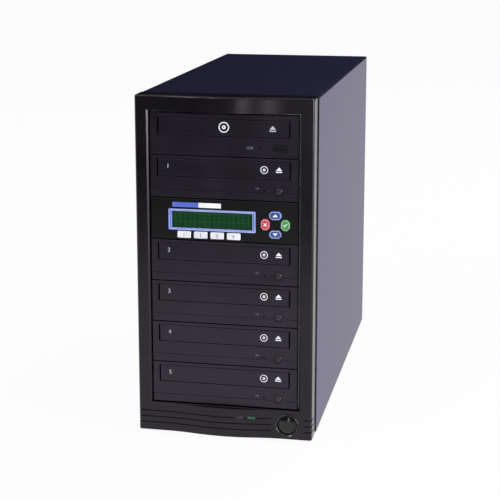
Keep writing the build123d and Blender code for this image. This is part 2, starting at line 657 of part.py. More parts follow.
def loader_deck(floor):
    """Plastic frame with a grooved rail on each side and the spindle's bearing in the middle."""
    z0 = floor + CHASSIS_LIFT + DRIVE_SHELL
    y0, y1 = CHASSIS_FRONT + 1, CHASSIS_BACK - DRIVE_SHELL - 1
    inner = TRAY_WIDTH / 2 + 0.5
    outer = inner + RAIL_THICKNESS
    lip_low = floor + TRAY_BOTTOM + TRAY_LIP_RISE - LIP_CLEARANCE
    lip_high = lip_low + TRAY_LIP_HEIGHT + 2 * LIP_CLEARANCE
    deck_low, deck_high = floor + DECK_BOTTOM, floor + DECK_TOP
    deck = box(-outer, outer, DISC_Y - 40, DISC_Y + 40, deck_low, deck_high)
    for side in (-1, 1):
        a, b = side * inner, side * outer
        deck += box(min(a, b), max(a, b), y0, y1, z0 + 6.0, floor + TRAY_BOTTOM + 8.0)
        c = side * (inner + TRAY_LIP + 0.4)
        deck -= box(min(a, c), max(a, c), y0, y1, lip_low, lip_high)
        for y in (y0 + 10, (y0 + y1) / 2, y1 - 10):
            d = side * (DRIVE_WIDTH / 2 - DRIVE_SHELL)
            deck += box(min(b, d), max(b, d), y - 4, y + 4, z0 + 6.0, z0 + 12.0)
    deck += Pos(0, DISC_Y, deck_high + BEARING_HEIGHT / 2) * Cylinder(8, BEARING_HEIGHT)
    deck -= Pos(0, DISC_Y, deck_high) * Cylinder(SHAFT_RADIUS + SHAFT_CLEARANCE, 20)
    deck -= box(-7, 7, DISC_Y + 14, DISC_Y + 38, deck_low, deck_high)
    return deck


def spindle(bay):
    """Disc turntable on its motor can and shaft."""
    floor = unit_floor(bay)
    boss_top = floor + DECK_TOP + BEARING_HEIGHT
    can = Pos(0, DISC_Y, boss_top + 0.1 + 1.75) * Cylinder(11, 3.5)
    table = Pos(0, DISC_Y, boss_top + 3.6 + 0.6) * Cylinder(SPINDLE_RADIUS, 1.2)
    nose = Pos(0, DISC_Y, boss_top + 4.8 + 0.6) * Cone(7.4, 6.0, 1.2)
    shaft = Pos(0, DISC_Y, boss_top - 2.4) * Cylinder(SHAFT_RADIUS, 5.0)
    return can + table + nose + shaft


def tray(bay):
    """Sliding disc tray with its lips, disc recesses and laser slot, and the clip-on door in front."""
    floor = unit_floor(bay)
    z0, z1 = floor + TRAY_BOTTOM, floor + TRAY_BOTTOM + TRAY_THICKNESS
    half = TRAY_WIDTH / 2
    flap_back = FACE_Y + FLAP_DEPTH
    y1 = flap_back + TRAY_LENGTH
    body = box(-half, half, flap_back, y1, z0, z1)
    lip_low = z0 + TRAY_LIP_RISE
    body += box(-half - TRAY_LIP, half + TRAY_LIP, CHASSIS_FRONT + 2, y1, lip_low, lip_low + TRAY_LIP_HEIGHT)
    recess_radius = DISC_RADIUS + RECESS_CLEARANCE
    body -= Pos(0, DISC_Y, z1) * Cylinder(recess_radius, 2 * RECESS_DEPTH)
    small_radius = SMALL_DISC_RADIUS + RECESS_CLEARANCE
    body -= Pos(0, DISC_Y, z1 - RECESS_DEPTH) * Cylinder(small_radius, 2 * RECESS_DEPTH)
    slot = SPINDLE_SLOT / 2
    body -= Pos(0, DISC_Y, z0) * Cylinder(slot, 4 * TRAY_THICKNESS)
    body -= box(-slot, slot, DISC_Y, DISC_Y + SMALL_DISC_RADIUS + 16, z0 - 1, z1 + 1)
    for side in (-1, 1):
        body -= Pos(side * (half - 14), y1 - 14, z0) * Cylinder(5, 4 * TRAY_THICKNESS)
    left, right, low, high = door_sizes(bay)
    flap = box(left + FLAP_GAP, right - FLAP_GAP, FACE_Y, flap_back,
               floor + low + FLAP_GAP, floor + high - FLAP_GAP)
    ends = flap.faces().sort_by(Axis.Y)[0].edges().filter_by(Axis.Z)
    flap = chamfer(ends, 2.0, 1.2)
    long_edges = [e for e in flap.edges().filter_by(Axis.X) if e.center().Y < FACE_Y + 0.1]
    flap = fillet(long_edges, 0.6)
    return [body, flap]


def eject_button(bay):
    """Small push button with a flange behind the face plate."""
    floor = unit_floor(bay)
    x, z = eject_place(bay)
    front = FACE_Y - 0.5 if bay == READER_BAY else FACE_Y - 0.1
    flange_front = FACE_Y + FACE_WALL + FLANGE_PLAY
    stem = prism_y(eject_outline(bay, 0), x, floor + z, front, flange_front)
    stem = fillet(stem.faces().sort_by(Axis.Y)[0].edges(), 0.6)
    flange = prism_y(eject_outline(bay, 1.2), x, floor + z, flange_front, flange_front + EJECT_FLANGE)
    return stem + flange


# ---- control panel ----
def key_specs():
    """Name, place and size of every key, from the bay's floor."""
    keys = dict(NAV_KEYS)
    for number, x in enumerate(FUNCTION_KEYS_X, start=1):
        keys["key_function_%d" % number] = (x, FUNCTION_KEY_Z) + FUNCTION_KEY
    return keys


def key_outline(name, width, height, grow):
    """Function keys are rounded bars, the others have cut corners."""
    outline = Rectangle(width + 2 * grow, height + 2 * grow)
    if name.startswith("key_function"):
        return fillet(outline.vertices(), 1.0 + grow)
    return chamfer(outline.vertices(), 2.6 + grow / 2)


def panel_face():
    """Face plate of the control bay with holes for the display and eight keys."""
    floor = unit_floor(PANEL_BAY)
    z0, z1 = floor + FACE_LIFT, floor + FACE_LIFT + FACE_HEIGHT
    half = FACE_WIDTH / 2
    plate = box(-half, half, FACE_Y, FACE_Y + FACE_DEPTH, z0, z1)
    plate = chamfer(plate.faces().sort_by(Axis.Y)[0].edges(), FACE_CHAMFER)
    skirt = FACE_SKIRT
    plate -= box(-half + skirt, half - skirt, FACE_Y + PANEL_WALL, FACE_Y + FACE_DEPTH,
                 z0 + skirt, z1 - skirt)
    left, right, low, high = LCD_FRAME
    plate -= box(left, right, FACE_Y, FACE_Y + LCD_FRAME_DEPTH, floor + low, floor + high)
    left, right, low, high = LCD_GLASS
    plate -= box(left, right, FACE_Y, FACE_Y + PANEL_WALL, floor + low, floor + high)
    for name, (x, z, width, height) in key_specs().items():
        hole = key_outline(name, width, height, BUTTON_CLEARANCE)
        plate -= prism_y(hole, x, floor + z, FACE_Y, FACE_Y + PANEL_WALL)
    for x in (-68.0, 68.0):
        for z in (7.0, 36.0):
            plate += rod_y(2.2, x, floor + z, FACE_Y + PANEL_WALL - 0.1, PANEL_BOARD_Y)
    for side in (-1, 1):
        edge = side * (half - skirt)
        inner = side * (half - skirt - 2.0)
        plate += box(min(edge, inner), max(edge, inner), FACE_Y + FACE_DEPTH - 1, FACE_Y + FACE_DEPTH + 14,
                     floor + 16, floor + 26)
    return plate


def lcd_surround():
    """Flat coloured frame let into the panel round the display."""
    floor = unit_floor(PANEL_BAY)
    left, right, low, high = LCD_FRAME
    gap = 0.1
    frame = box(left + gap, right - gap, FACE_Y - 0.1, FACE_Y + LCD_FRAME_DEPTH,
                floor + low + gap, floor + high - gap)
    left, right, low, high = LCD_GLASS
    frame -= box(left, right, FACE_Y - 1, FACE_Y + 1, floor + low, floor + high)
    return frame


def lcd_window():
    """Clear window in front of the display."""
    floor = unit_floor(PANEL_BAY)
    left, right, low, high = LCD_GLASS
    gap = 0.1
    return box(left + gap, right - gap, FACE_Y + 0.3, FACE_Y + PANEL_WALL,
               floor + low + gap, floor + high - gap)


def controller_board():
    """Main board of the machine, the display module and the key switches."""
    floor = unit_floor(PANEL_BAY)
    front = PANEL_BOARD_Y
    key_board = box(-70, 70, front, front + BOARD_THICKNESS, floor + 3, floor + 39)
    left, right, low, high = LCD_GLASS
    module = box(left - 5, right + 3, FACE_Y + PANEL_WALL + FLAT_GAP, front,
                 floor + low - 1.2, floor + high + 2.5)
    switches = []
    switch_front = FACE_Y + PANEL_WALL + FLANGE_PLAY + 1.0 + KEY_TRAVEL + SWITCH_PLAY
    for x, z, width, height in key_specs().values():
        switches.append(box(x - 2.5, x + 2.5, switch_front, front, floor + z - 1.6, floor + z + 1.6))
    main_front = front + BOARD_THICKNESS
    board_back = MAIN_BOARD_BACK
    main = box(-68, 68, main_front, board_back, floor + 8, floor + 9.6)
    processor = box(-16, 16, main_front + 30, main_front + 62, floor + 9.6, floor + 12.2)
    heat_sink = box(-16, 16, main_front + 30, main_front + 62, floor + 12.2, floor + 15)
    for fin in range(8):
        x = -15 + fin * 4.0
        heat_sink += box(x, x + 1.2, main_front + 30, main_front + 62, floor + 15, floor + 22)
    sockets = [box(x - 4.5, x + 4.5, board_back - 14, board_back, floor + 9.6, floor + 16)
               for x in data_columns().values()]
    power_x = power_column(PANEL_BAY)
    power = box(power_x - 5, power_x + 5, board_back - 12, board_back, floor + 9.6, floor + 18)
    ledges = [box(-CAGE_INNER_HALF, -66, main_front + 10, main_front + 100, floor + 6.4, floor + 8),
              box(66, CAGE_INNER_HALF, main_front + 10, main_front + 100, floor + 6.4, floor + 8)]
    return [key_board, module, main, processor, heat_sink, power] + switches + sockets + ledges


def panel_key(name, spec):
    """One push key with a flange behind the panel."""
    floor = unit_floor(PANEL_BAY)
    x, z, width, height = spec
    flange_front = FACE_Y + PANEL_WALL + FLANGE_PLAY
    cap = prism_y(key_outline(name, width, height, 0), x, floor + z, FACE_Y - KEY_PROUD, flange_front)
    cap = chamfer(cap.faces().sort_by(Axis.Y)[0].edges(), 0.5)
    flange = prism_y(Rectangle(width - 1.0, height + 1.2), x, floor + z, flange_front, flange_front + 1.0)
    return cap + flange


# ---- power supply and fans ----
def fan_frame(z, back):
    """Square frame with a round duct, four struts and a motor boss, its back face at the given Y."""
    half = FAN_SIZE / 2
    front = back - FAN_DEPTH
    frame = box(-half, half, front, back, z - half, z + half)
    frame = fillet(frame.edges().filter_by(Axis.Y), 4.0)
    frame -= rod_y(FAN_BORE_RADIUS, 0, z, front, back)
    for x, screw_z in fan_screw_places(z):
        frame -= rod_y(SCREW_RADIUS, x, screw_z, front, back)
    struts = Rot(0, 45, 0) * (Box(2 * FAN_BORE_RADIUS + 1, 3.0, 3.0) + Box(3.0, 3.0, 2 * FAN_BORE_RADIUS + 1))
    frame += Pos(0, front + 1.5, z) * struts
    frame += rod_y(FAN_HUB_RADIUS - 2, 0, z, front, front + 6.0)
    frame -= rod_y(SHAFT_RADIUS + SHAFT_CLEARANCE, 0, z, front + 1.0, front + 6.0)
    return frame


def fan_rotor(z, back):
    """Hub with swept blades on a shaft that runs in the motor boss."""
    front = back - FAN_DEPTH
    hub_front, hub_back = front + 6.4, back - 1.5
    rotor = rod_y(FAN_HUB_RADIUS, 0, z, hub_front, hub_back)
    rotor += rod_y(SHAFT_RADIUS, 0, z, front + 1.4, hub_front)
    tip = FAN_BORE_RADIUS - FAN_TIP_CLEARANCE
    length = tip - FAN_HUB_RADIUS + 2
    for blade in range(FAN_BLADES):
        leaf = Pos(FAN_HUB_RADIUS - 2 + length / 2, 0, 0) * Rot(38, 0, 0) * Box(length, 16.0, 1.6)
        turned = Rot(0, 360 / FAN_BLADES * blade, 0) * leaf
        rotor += Pos(0, (hub_front + hub_back) / 2, z) * turned
    keep = rod_y(tip, 0, z, front, back)
    return rotor & keep


def psu_centre():
    return (PSU_TOP + PSU_BOTTOM) / 2


def psu_housing():
    """Steel box of the power supply with its own fan frame, board and heat sinks."""
    half = PSU_WIDTH / 2
    back, front = REAR_INNER, PSU_FRONT
    wall = PSU_SHEET
    shell = box(-half, half, front, back, PSU_BOTTOM, PSU_TOP)
    shell -= box(-half + wall, half - wall, front + wall, back - wall, PSU_BOTTOM + wall, PSU_TOP - wall)
    slot_width = 4.4
    for ring in range(4):
        inner = 12 + ring * (FAN_BORE_RADIUS - 1.8 - slot_width - 12) / 3
        slots = rod_y(inner + slot_width, PSU_FAN_X, psu_centre(), back - wall, back)
        slots -= rod_y(inner, PSU_FAN_X, psu_centre(), back - wall, back)
        cross = Pos(PSU_FAN_X, back, psu_centre()) * Rot(0, 45, 0)
        slots -= cross * (Box(FAN_SIZE + 10, 6, 4) + Box(4, 6, FAN_SIZE + 10))
        shell -= slots
    for column in range(9):
        x = -56 + column * 14
        shell -= prism_y(SlotOverall(40, 5).rotate(Axis.Z, 90), x, psu_centre() + 4, front, front + wall)
    for x, z in psu_screw_places():
        shell -= rod_y(SCREW_RADIUS, x, z, back - wall, back)
    left, right, low, high = INLET_CUT
    shell -= box(left, right, back - wall, back, low, high)
    left, right, low, high = ROCKER_CUT
    shell -= box(left, right, back - wall, back, low, high)
    frame = Pos(PSU_FAN_X, 0, 0) * fan_frame(psu_centre(), back - wall)
    board = box(-half + wall + 1, PSU_FAN_X - FAN_SIZE / 2 - 2, front + 6, back - 40, PSU_BOTTOM + wall + 4,
                PSU_BOTTOM + wall + 4 + BOARD_THICKNESS)
    posts = [Pos(x, y, PSU_BOTTOM + wall + 2) * Cylinder(3, 4)
             for x in (-half + 8, PSU_FAN_X - FAN_SIZE / 2 - 10) for y in (front + 14, back - 50)]
    transformer = box(-60, -30, front + 30, front + 64, PSU_BOTTOM + wall + 5.6, PSU_BOTTOM + wall + 42)
    reach = 3 * POWER_STEP + 4
    outlet = box(POWER_MIDDLE_X - reach, POWER_MIDDLE_X + reach, front - 4, front, PSU_TOP - 30, PSU_TOP - 8)
    return [shell, frame, board, transformer, outlet] + posts


def psu_inlet():
    """Three-pin appliance inlet with its moulded shroud."""
    left, right, low, high = INLET_CUT
    gap = 0.1
    back = REAR_INNER
    block = box(left + gap, right - gap, back - 20, back, low + gap, high - gap)
    block += box(left - 1.6, right + 1.6, back, back + 2.0, low - 1.6, high + 1.6)
    middle_x, middle_z = (left + right) / 2, (low + high) / 2
    socket = Rectangle(24.2, 16.6)
    socket = chamfer(socket.vertices().group_by(Axis.Y)[-1], 4.0)
    block -= prism_y(socket, middle_x, middle_z, back + 2.0 - SOCKET_DEPTH, back + 2.0)
    pins = []
    for x, z in ((-7.0, -1.5), (7.0, -1.5), (0.0, 2.5)):
        pins.append(box(middle_x + x - 1.0, middle_x + x + 1.0, back - 18, back - 4.5,
                        middle_z + z - 2.0, middle_z + z + 2.0))
    for pin in pins:
        block -= pin
    return [block] + pins


def rocker_centre():
    left, right, low, high = ROCKER_CUT
    return (left + right) / 2, REAR_INNER - 4.0, (low + high) / 2


def psu_rocker():
    """Mains rocker that tips about a pin across its frame, drawn in its off position."""
    x, y, z = rocker_centre()
    half = 8.4
    body = Pos(x, y, z) * Rot(ROCKER_TILT, 0, 0) * (
        Pos(0, 1.6, 0) * Box(2 * half, 6.0, 8.6) + Rot(0, 90, 0) * Cylinder(3.2, 2 * half))
    body += rod_x(1.0, y, z, x - half - 0.6, x + half + 0.6)
    return body


def rocker_frame():
    """Fixed frame of the rocker, clipped into the supply's back wall."""
    left, right, low, high = ROCKER_CUT
    x, y, z = rocker_centre()
    gap = 0.1
    frame = box(left + gap, right - gap, REAR_INNER - 12, REAR_INNER, low + gap, high - gap)
    frame += box(left - 1.2, right + 1.2, REAR_INNER, REAR_INNER + 1.6, low - 1.2, high + 1.2)
    frame -= box(x - 8.7, x + 8.7, REAR_INNER - 10.5, REAR_INNER + 2, z - 5.7, z + 5.7)
    frame -= rod_x(1.05, y, z, x - 9.3, x + 9.3)
    return frame


def fan_guard():
    """Welded wire guard over the exhaust fan."""
    wire = GUARD_WIRE_RADIUS
    first = 8.0
    pitch = (FAN_BORE_RADIUS - 1.2 - first) / 4
    y = REAR_INNER + STEEL_SHEET + wire
    guard = None
    for ring in range(5):
        hoop = Pos(0, y, EXHAUST_Z) * Rot(90, 0, 0) * Torus(first + ring * pitch, wire)
        guard = hoop if guard is None else guard + hoop
    reach = FAN_SCREW_SPACING / 2
    spoke_y = y + 1.2 * wire
    for side in (-1, 1):
        angle = 45 * side
        spoke = Rot(0, angle, 0) * Box(2 * math.hypot(reach, reach) - 5.6, 1.4 * wire, 2 * wire)
        guard += Pos(0, spoke_y, EXHAUST_Z) * spoke
    for x, z in fan_screw_places(EXHAUST_Z):
        lug = rod_y(4.2, x, z, y - wire, spoke_y + 1.0 * wire)
        lug -= rod_y(SCREW_RADIUS, x, z, y - 3, y + 5)
        guard += lug
    return guard


# ---- cables ----
def data_columns():
    """Where each drive's data cable meets the main board."""
    return {bay: -55.0 + 13.0 * place for place, bay in enumerate((6, 5, 3, 2, 1, 0))}


def power_column(bay):
    """Side by side across the supply's outlet, the top drive's cable first."""
    return POWER_MIDDLE_X + POWER_STEP * (3 - bay)


def cable(points, name):
    """A round cable along straight runs and tangent arcs as large as the runs allow."""
    vectors = [Vector(*p) for p in points]
    radii = []
    for before, here, after in zip(vectors, vectors[1:], vectors[2:]):
        turn = math.radians((here - before).get_angle(after - here))
        shorter = min((here - before).length, (after - here).length)
        radii.append(min(0.45 * shorter / math.tan(turn / 2), CABLE_BEND))
    path = FilletPolyline(*points, radius=radii)
    start = Plane(origin=path @ 0, z_dir=path % 0)
    tube = sweep(start * Circle(CABLE_RADIUS), path)
    print(name, "radii", [round(r, 1) for r in radii], "length", round(path.length, 1),
          "volume ratio", round(tube.volume / (math.pi * CABLE_RADIUS ** 2 * path.length), 4))
    return tube


def socket_z(bay):
    """Height of the sockets at the back of a drive."""
    return unit_floor(bay) + CHASSIS_LIFT + DRIVE_SHELL + 3.0 + BOARD_THICKNESS + 3.7


def data_cable(bay):
    """From a drive's data socket, down or up behind the drives, and forward to the main board."""
    rank = abs(bay - PANEL_BAY)
    y = CHASSIS_BACK + CABLE_FIRST + CABLE_STEP * rank
    x = data_columns()[bay]
    z = unit_floor(PANEL_BAY) + 12.8
    return cable([(DATA_PORT_X, CHASSIS_BACK, socket_z(bay)), (DATA_PORT_X, y, socket_z(bay)),
                  (x, y, z), (x, MAIN_BOARD_BACK, z)], "data %d" % bay)


def power_cable(bay):
    """From the supply's outlet, down behind the drives, and forward to a drive or to the main board."""
    y = CHASSIS_BACK + CABLE_FIRST + CABLE_STEP * (READER_BAY - bay)
    x = power_column(bay)
    z = PSU_TOP - 19.0
    if bay == PANEL_BAY:
        end = (x, MAIN_BOARD_BACK, unit_floor(bay) + 14.0)
        return cable([(x, PSU_FRONT - 4, z), (x, y, z), (x, y, end[2]), end], "power %d" % bay)
    end = (POWER_PORT_X, CHASSIS_BACK, socket_z(bay))
    return cable([(x, PSU_FRONT - 4, z), (x, y, z), (POWER_PORT_X, y, end[2]), end], "power %d" % bay)


# ---- the whole machine ----
def build():
    add("outer_cover", outer_cover())
    add("base_pan", base_pan())
    add("rear_panel", rear_panel())
    add("drive_cage", drive_cage())
    add("feet", *feet())
    add("case_screws", *case_screws())
    add("front_bezel", front_bezel())
    add("power_button", power_button())
    add("front_switch_board", *front_switch_board())
    lamps = [chin_lens(x) for x in LENS_X]
    for bay in range(BAY_COUNT):
        if bay != PANEL_BAY:
            lamps.append(led_block(bay, 0))
    add("indicator_lights", *lamps)
    add("panel_face", panel_face())
    add("lcd_surround", lcd_surround())
    add("lcd_window", lcd_window())
    add("controller_board", *controller_board())
    for name, spec in key_specs().items():
        add(name, panel_key(name, spec))
    add("psu_housing", *psu_housing(), rocker_frame())
    add("psu_inlet", *psu_inlet())
    add("psu_rocker", psu_rocker())
    add("psu_fan_rotor", Pos(PSU_FAN_X, 0, 0) * fan_rotor(psu_centre(), REAR_INNER - PSU_SHEET))
    add("exhaust_fan_frame", fan_frame(EXHAUST_Z, REAR_INNER))
    add("exhaust_fan_rotor", fan_rotor(EXHAUST_Z, REAR_INNER))
    add("fan_guard", fan_guard())
    cables = [data_cable(bay) for bay in range(BAY_COUNT) if bay != PANEL_BAY]
    cables += [power_cable(bay) for bay in range(BAY_COUNT)]
    add("internal_cables", *cables)
    for bay in range(BAY_COUNT):
        if bay == PANEL_BAY:
            continue
        name = drive_name(bay)
        add(name + "_chassis", *drive_chassis(bay))
        add(name + "_bezel", drive_bezel(bay))
        add(name + "_tray", *tray(bay))
        add(name + "_eject_button", eject_button(bay))
        add(name + "_spindle", spindle(bay))


build()
os.makedirs("parts", exist_ok=True)
for name, solids in PARTS.items():
    shape = solids[0] if len(solids) == 1 else Compound(children=solids)
    export_step(shape, "parts/%s.step" % name)
print(len(PARTS), "nodes")
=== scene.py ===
# %% [markdown]
# A disc duplicator tower
#
# The object is a desk-side tower: a folded steel cover, a black plastic front moulding, six disc
# drives stacked above each other and a small panel with a green display and eight keys. The solid
# parts come ready made as the frame. This lesson gives them their finishes, adds the detail that
# a solid model leaves out, sets up a photographer's table, and puts the camera where the
# photograph was taken from.

# %% Load the frame
import bmesh
import bpy
import json
import math
from mathutils import Matrix, Vector

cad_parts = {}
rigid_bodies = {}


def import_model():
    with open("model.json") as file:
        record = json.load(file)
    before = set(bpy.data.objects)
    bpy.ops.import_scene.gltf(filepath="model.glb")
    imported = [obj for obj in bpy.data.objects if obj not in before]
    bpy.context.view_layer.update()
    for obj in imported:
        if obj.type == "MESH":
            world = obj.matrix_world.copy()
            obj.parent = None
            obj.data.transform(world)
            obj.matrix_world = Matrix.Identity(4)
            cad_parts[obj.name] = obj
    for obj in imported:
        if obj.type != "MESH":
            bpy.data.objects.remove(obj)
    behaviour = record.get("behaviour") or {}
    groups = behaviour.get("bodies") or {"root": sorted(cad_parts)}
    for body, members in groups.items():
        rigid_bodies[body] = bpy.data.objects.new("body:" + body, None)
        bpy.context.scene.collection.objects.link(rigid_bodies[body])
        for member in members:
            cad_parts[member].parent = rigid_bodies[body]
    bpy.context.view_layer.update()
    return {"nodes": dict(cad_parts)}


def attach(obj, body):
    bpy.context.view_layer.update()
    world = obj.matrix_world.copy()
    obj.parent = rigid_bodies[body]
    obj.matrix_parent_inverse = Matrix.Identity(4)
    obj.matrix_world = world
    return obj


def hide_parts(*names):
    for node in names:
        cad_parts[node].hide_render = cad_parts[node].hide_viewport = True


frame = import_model()
nodes = frame["nodes"]
MM = 0.001

# %% [markdown]
# Colour and nodes
#
# Paint makers and web pages write a colour as a hex value, which is in sRGB. Blender's shaders
# count in linear light, so one function turns the one into the other. A second function adds a
# node, sets its values and links its inputs, which keeps each material down to a few lines.


# %% Two helpers for materials
def linear(hex_value):
    """A linear RGBA colour from an sRGB hex value."""
    channels = [int(hex_value[i:i + 2], 16) / 255 for i in (1, 3, 5)]
    bent = [c / 12.92 if c <= 0.04045 else ((c + 0.055) / 1.055) ** 2.4 for c in channels]
    return (*bent, 1.0)


def add_node(tree, kind, values=None, links=None, **settings):
    """Adds a node, sets its properties and input values, and links sockets into its inputs."""
    node = tree.nodes.new(kind)
    for name, value in settings.items():
        setattr(node, name, value)
    for name, value in (values or {}).items():
        node.inputs[name].default_value = value
    for name, socket in (links or {}).items():
        tree.links.new(socket, node.inputs[name])
    return node


def new_material(name, **shader_values):
    """A material with one Principled shader, whose constants are set on its own sockets."""
    material = bpy.data.materials.new(name)
    material.use_nodes = True
    tree = material.node_tree
    tree.nodes.clear()
    shader = add_node(tree, "ShaderNodeBsdfPrincipled", values=shader_values)
    add_node(tree, "ShaderNodeOutputMaterial", links={"Surface": shader.outputs["BSDF"]})
    return material, tree, shader


def place(tree):
    """The point on the object, in metres, so that a pattern keeps its real size."""
    return add_node(tree, "ShaderNodeTexCoord").outputs["Object"]


def cells_per_metre(size_mm):
    """A texture scale from the size of one bump in millimetres."""
    return 1000.0 / size_mm


print("mid grey #808080 is", round(linear("#808080")[0], 3), "in linear light")

# %% [markdown]
# The camera
#
# The photograph was taken from the right of the tower and from a little above its top, with a long
# lens and the film plane nearly upright. The numbers below are where that camera stood, measured
# from the middle of the tower's base: they come from lining up the seven equal bays and the case's
# corners. The picture was cropped off centre, which is a small lens shift.

# %% Camera
CAMERA_PLACE = (0.2779, -1.4759, 0.5143)
CAMERA_YAW = math.radians(11.28)
CAMERA_PITCH = math.radians(-11.69)
SENSOR = 36.0
IMAGE_SIDE = 500
FOCAL_PIXELS = 1352.1
CROP_RIGHT, CROP_DOWN = 0.0, -50.0

camera_data = bpy.data.cameras.new("camera")
camera_data.sensor_width = SENSOR
camera_data.lens = FOCAL_PIXELS / IMAGE_SIDE * SENSOR
camera_data.shift_x = -CROP_RIGHT / IMAGE_SIDE
camera_data.shift_y = CROP_DOWN / IMAGE_SIDE
camera_data.clip_start, camera_data.clip_end = 0.05, 50
camera = bpy.data.objects.new("camera", camera_data)
camera.location = CAMERA_PLACE
camera.rotation_euler = (math.pi / 2 + CAMERA_PITCH, 0, CAMERA_YAW)
bpy.context.collection.objects.link(camera)
bpy.context.scene.camera = camera
print("lens", round(camera_data.lens, 1), "mm")

# %% [markdown]
# The table and the light
#
# A black machine shows only what it reflects, so the set is built for its reflections. The table is
# white, and near the lens it mirrors in the steel side as a long pale sheen and in the lower half of
# the front. The room behind the camera and above the table is hung with black cloth, as in a
# photographer's studio, which keeps the top and the upper front dark. A tall strip lamp draws the
# soft upright highlight in the bowed mouldings, and a large box on the right draws the thin bright
# line on the front's rounded corner.

# %% Floor and world
WHITE = (1.0, 1.0, 1.0, 1.0)
FLOOR_HALF = 30.0


def white_rays(tree):
    """1 for the rays that look at the background: from the camera, and off or through a surface."""
    rays = add_node(tree, "ShaderNodeLightPath")
    seen = add_node(tree, "ShaderNodeMath", operation="MAXIMUM",
                    links={0: rays.outputs["Is Camera Ray"], 1: rays.outputs["Is Glossy Ray"]})
    return add_node(tree, "ShaderNodeMath", operation="MAXIMUM",
                    links={0: seen.outputs[0], 1: rays.outputs["Is Transmission Ray"]}).outputs[0]


def white_paper():
    """Paper that is white to the camera and still takes a shadow: a twentieth of what is seen is lit."""
    material = bpy.data.materials.new("white paper")
    material.use_nodes = True
    tree = material.node_tree
    tree.nodes.clear()
    share = add_node(tree, "ShaderNodeMath", operation="MULTIPLY", values={1: 0.95},
                     links={0: white_rays(tree)})
    paper = add_node(tree, "ShaderNodeBsdfDiffuse", values={"Color": (0.8, 0.8, 0.8, 1.0)})
    glow = add_node(tree, "ShaderNodeEmission", values={"Color": WHITE, "Strength": 1.0})
    blend = add_node(tree, "ShaderNodeMixShader", links={0: share.outputs[0], 1: paper.outputs[0], 2: glow.outputs[0]})
    add_node(tree, "ShaderNodeOutputMaterial", links={"Surface": blend.outputs[0]})
    return material


def stage_sheet(name, corners, material):
    """A flat four-cornered piece of the set."""
    mesh = bpy.data.meshes.new(name)
    mesh.from_pydata(corners, [], [(0, 1, 2, 3)])
    mesh.materials.append(material)
    sheet = bpy.data.objects.new(name, mesh)
    bpy.context.collection.objects.link(sheet)
    return sheet


half = FLOOR_HALF
stage_sheet("floor", [(-half, -half, -0.0005), (half, -half, -0.0005), (half, half, -0.0005), (-half, half, -0.0005)],
            white_paper())

world = bpy.data.worlds.new("studio")
bpy.context.scene.world = world
world.use_nodes = True
sky = world.node_tree
sky.nodes.clear()
dim_room = add_node(sky, "ShaderNodeBackground", values={"Color": linear("#F4F2FF"), "Strength": 0.45})
white_room = add_node(sky, "ShaderNodeBackground", values={"Color": WHITE, "Strength": 1.0})
room = add_node(sky, "ShaderNodeMixShader",
                links={0: white_rays(sky), 1: dim_room.outputs[0], 2: white_room.outputs[0]})
add_node(sky, "ShaderNodeOutputWorld", links={"Surface": room.outputs[0]})
print("floor", 2 * FLOOR_HALF, "m wide")

# %% Black cloth
cloth = bpy.data.materials.new("black stage cloth")
cloth.use_nodes = True
cloth.node_tree.nodes.clear()
wool = add_node(cloth.node_tree, "ShaderNodeBsdfDiffuse", values={"Color": linear("#10101A")})
add_node(cloth.node_tree, "ShaderNodeOutputMaterial", links={"Surface": wool.outputs[0]})


def black_cloth(name, corners):
    """A cloth that reflections see and the camera doesn't, so that it stays out of every picture."""
    sheet = stage_sheet(name, corners, cloth)
    sheet.visible_camera = False
    sheet.visible_diffuse = False
    sheet.visible_shadow = False
    return sheet


black_cloth("cloth_on_table_end", [(-5, -5.0, 0.002), (5, -5.0, 0.002), (5, -0.95, 0.002), (-5, -0.95, 0.002)])
black_cloth("cloth_behind_camera", [(-5, -5.0, 0), (5, -5.0, 0), (5, -5.0, 4), (-5, -5.0, 4)])
black_cloth("cloth_above_table", [(-4, 3.4, 0.25), (4, 3.4, 0.25), (4, 1.6, 3.2), (-4, 1.6, 3.2)])
print("three black cloths")

# %% Lamps
def soft_box(name, place_at, aim_at, size, watts):
    """A rectangular lamp that faces a point."""
    data = bpy.data.lights.new(name, "AREA")
    data.shape = "RECTANGLE"
    data.size, data.size_y = size
    data.energy = watts
    lamp = bpy.data.objects.new(name, data)
    lamp.location = place_at
    lamp.rotation_euler = (Vector(aim_at) - Vector(place_at)).to_track_quat("-Z", "Y").to_euler()
    bpy.context.collection.objects.link(lamp)
    return lamp


MIDDLE = (0.0, -0.05, 0.18)
soft_box("right_box", (2.0, -0.9, 0.6), MIDDLE, (0.6, 1.5), 56)
soft_box("strip", (0.03, -2.1, 0.05), (0.02, -0.2, 0.1), (0.1, 0.9), 2.6)
soft_box("front_box", (-1.3, -1.9, 1.7), MIDDLE, (1.0, 0.8), 22)
soft_box("back_box", (0.9, 1.4, 2.2), (0.8, 0.8, 0.0), (1.2, 1.2), 26)
bpy.context.scene.view_settings.view_transform = "Standard"
print("four lamps")

# %% [markdown]
# Powder-coated steel
#
# The cover is folded from one sheet and powder coated: a dry paint that melts into a film with a
# fine orange-peel skin, a millimetre or two from bump to bump. A little aluminium flake in the powder
# gives it a violet cast at low angles. The eye reads it from its sheen: near black from above, and
# pale where it mirrors the table.


# %% Powder coat
def bumpy(tree, shader, size_mm, height_mm, strength, detail=2.0):
    """Noise bumps of a real size and height on a shader."""
    noise = add_node(tree, "ShaderNodeTexNoise", values={"Scale": cells_per_metre(size_mm), "Detail": detail},
                     links={"Vector": place(tree)})
    bump = add_node(tree, "ShaderNodeBump", values={"Strength": strength, "Distance": height_mm * MM},
                    links={"Height": noise.outputs["Fac"]})
    tree.links.new(bump.outputs["Normal"], shader.inputs["Normal"])
    return noise


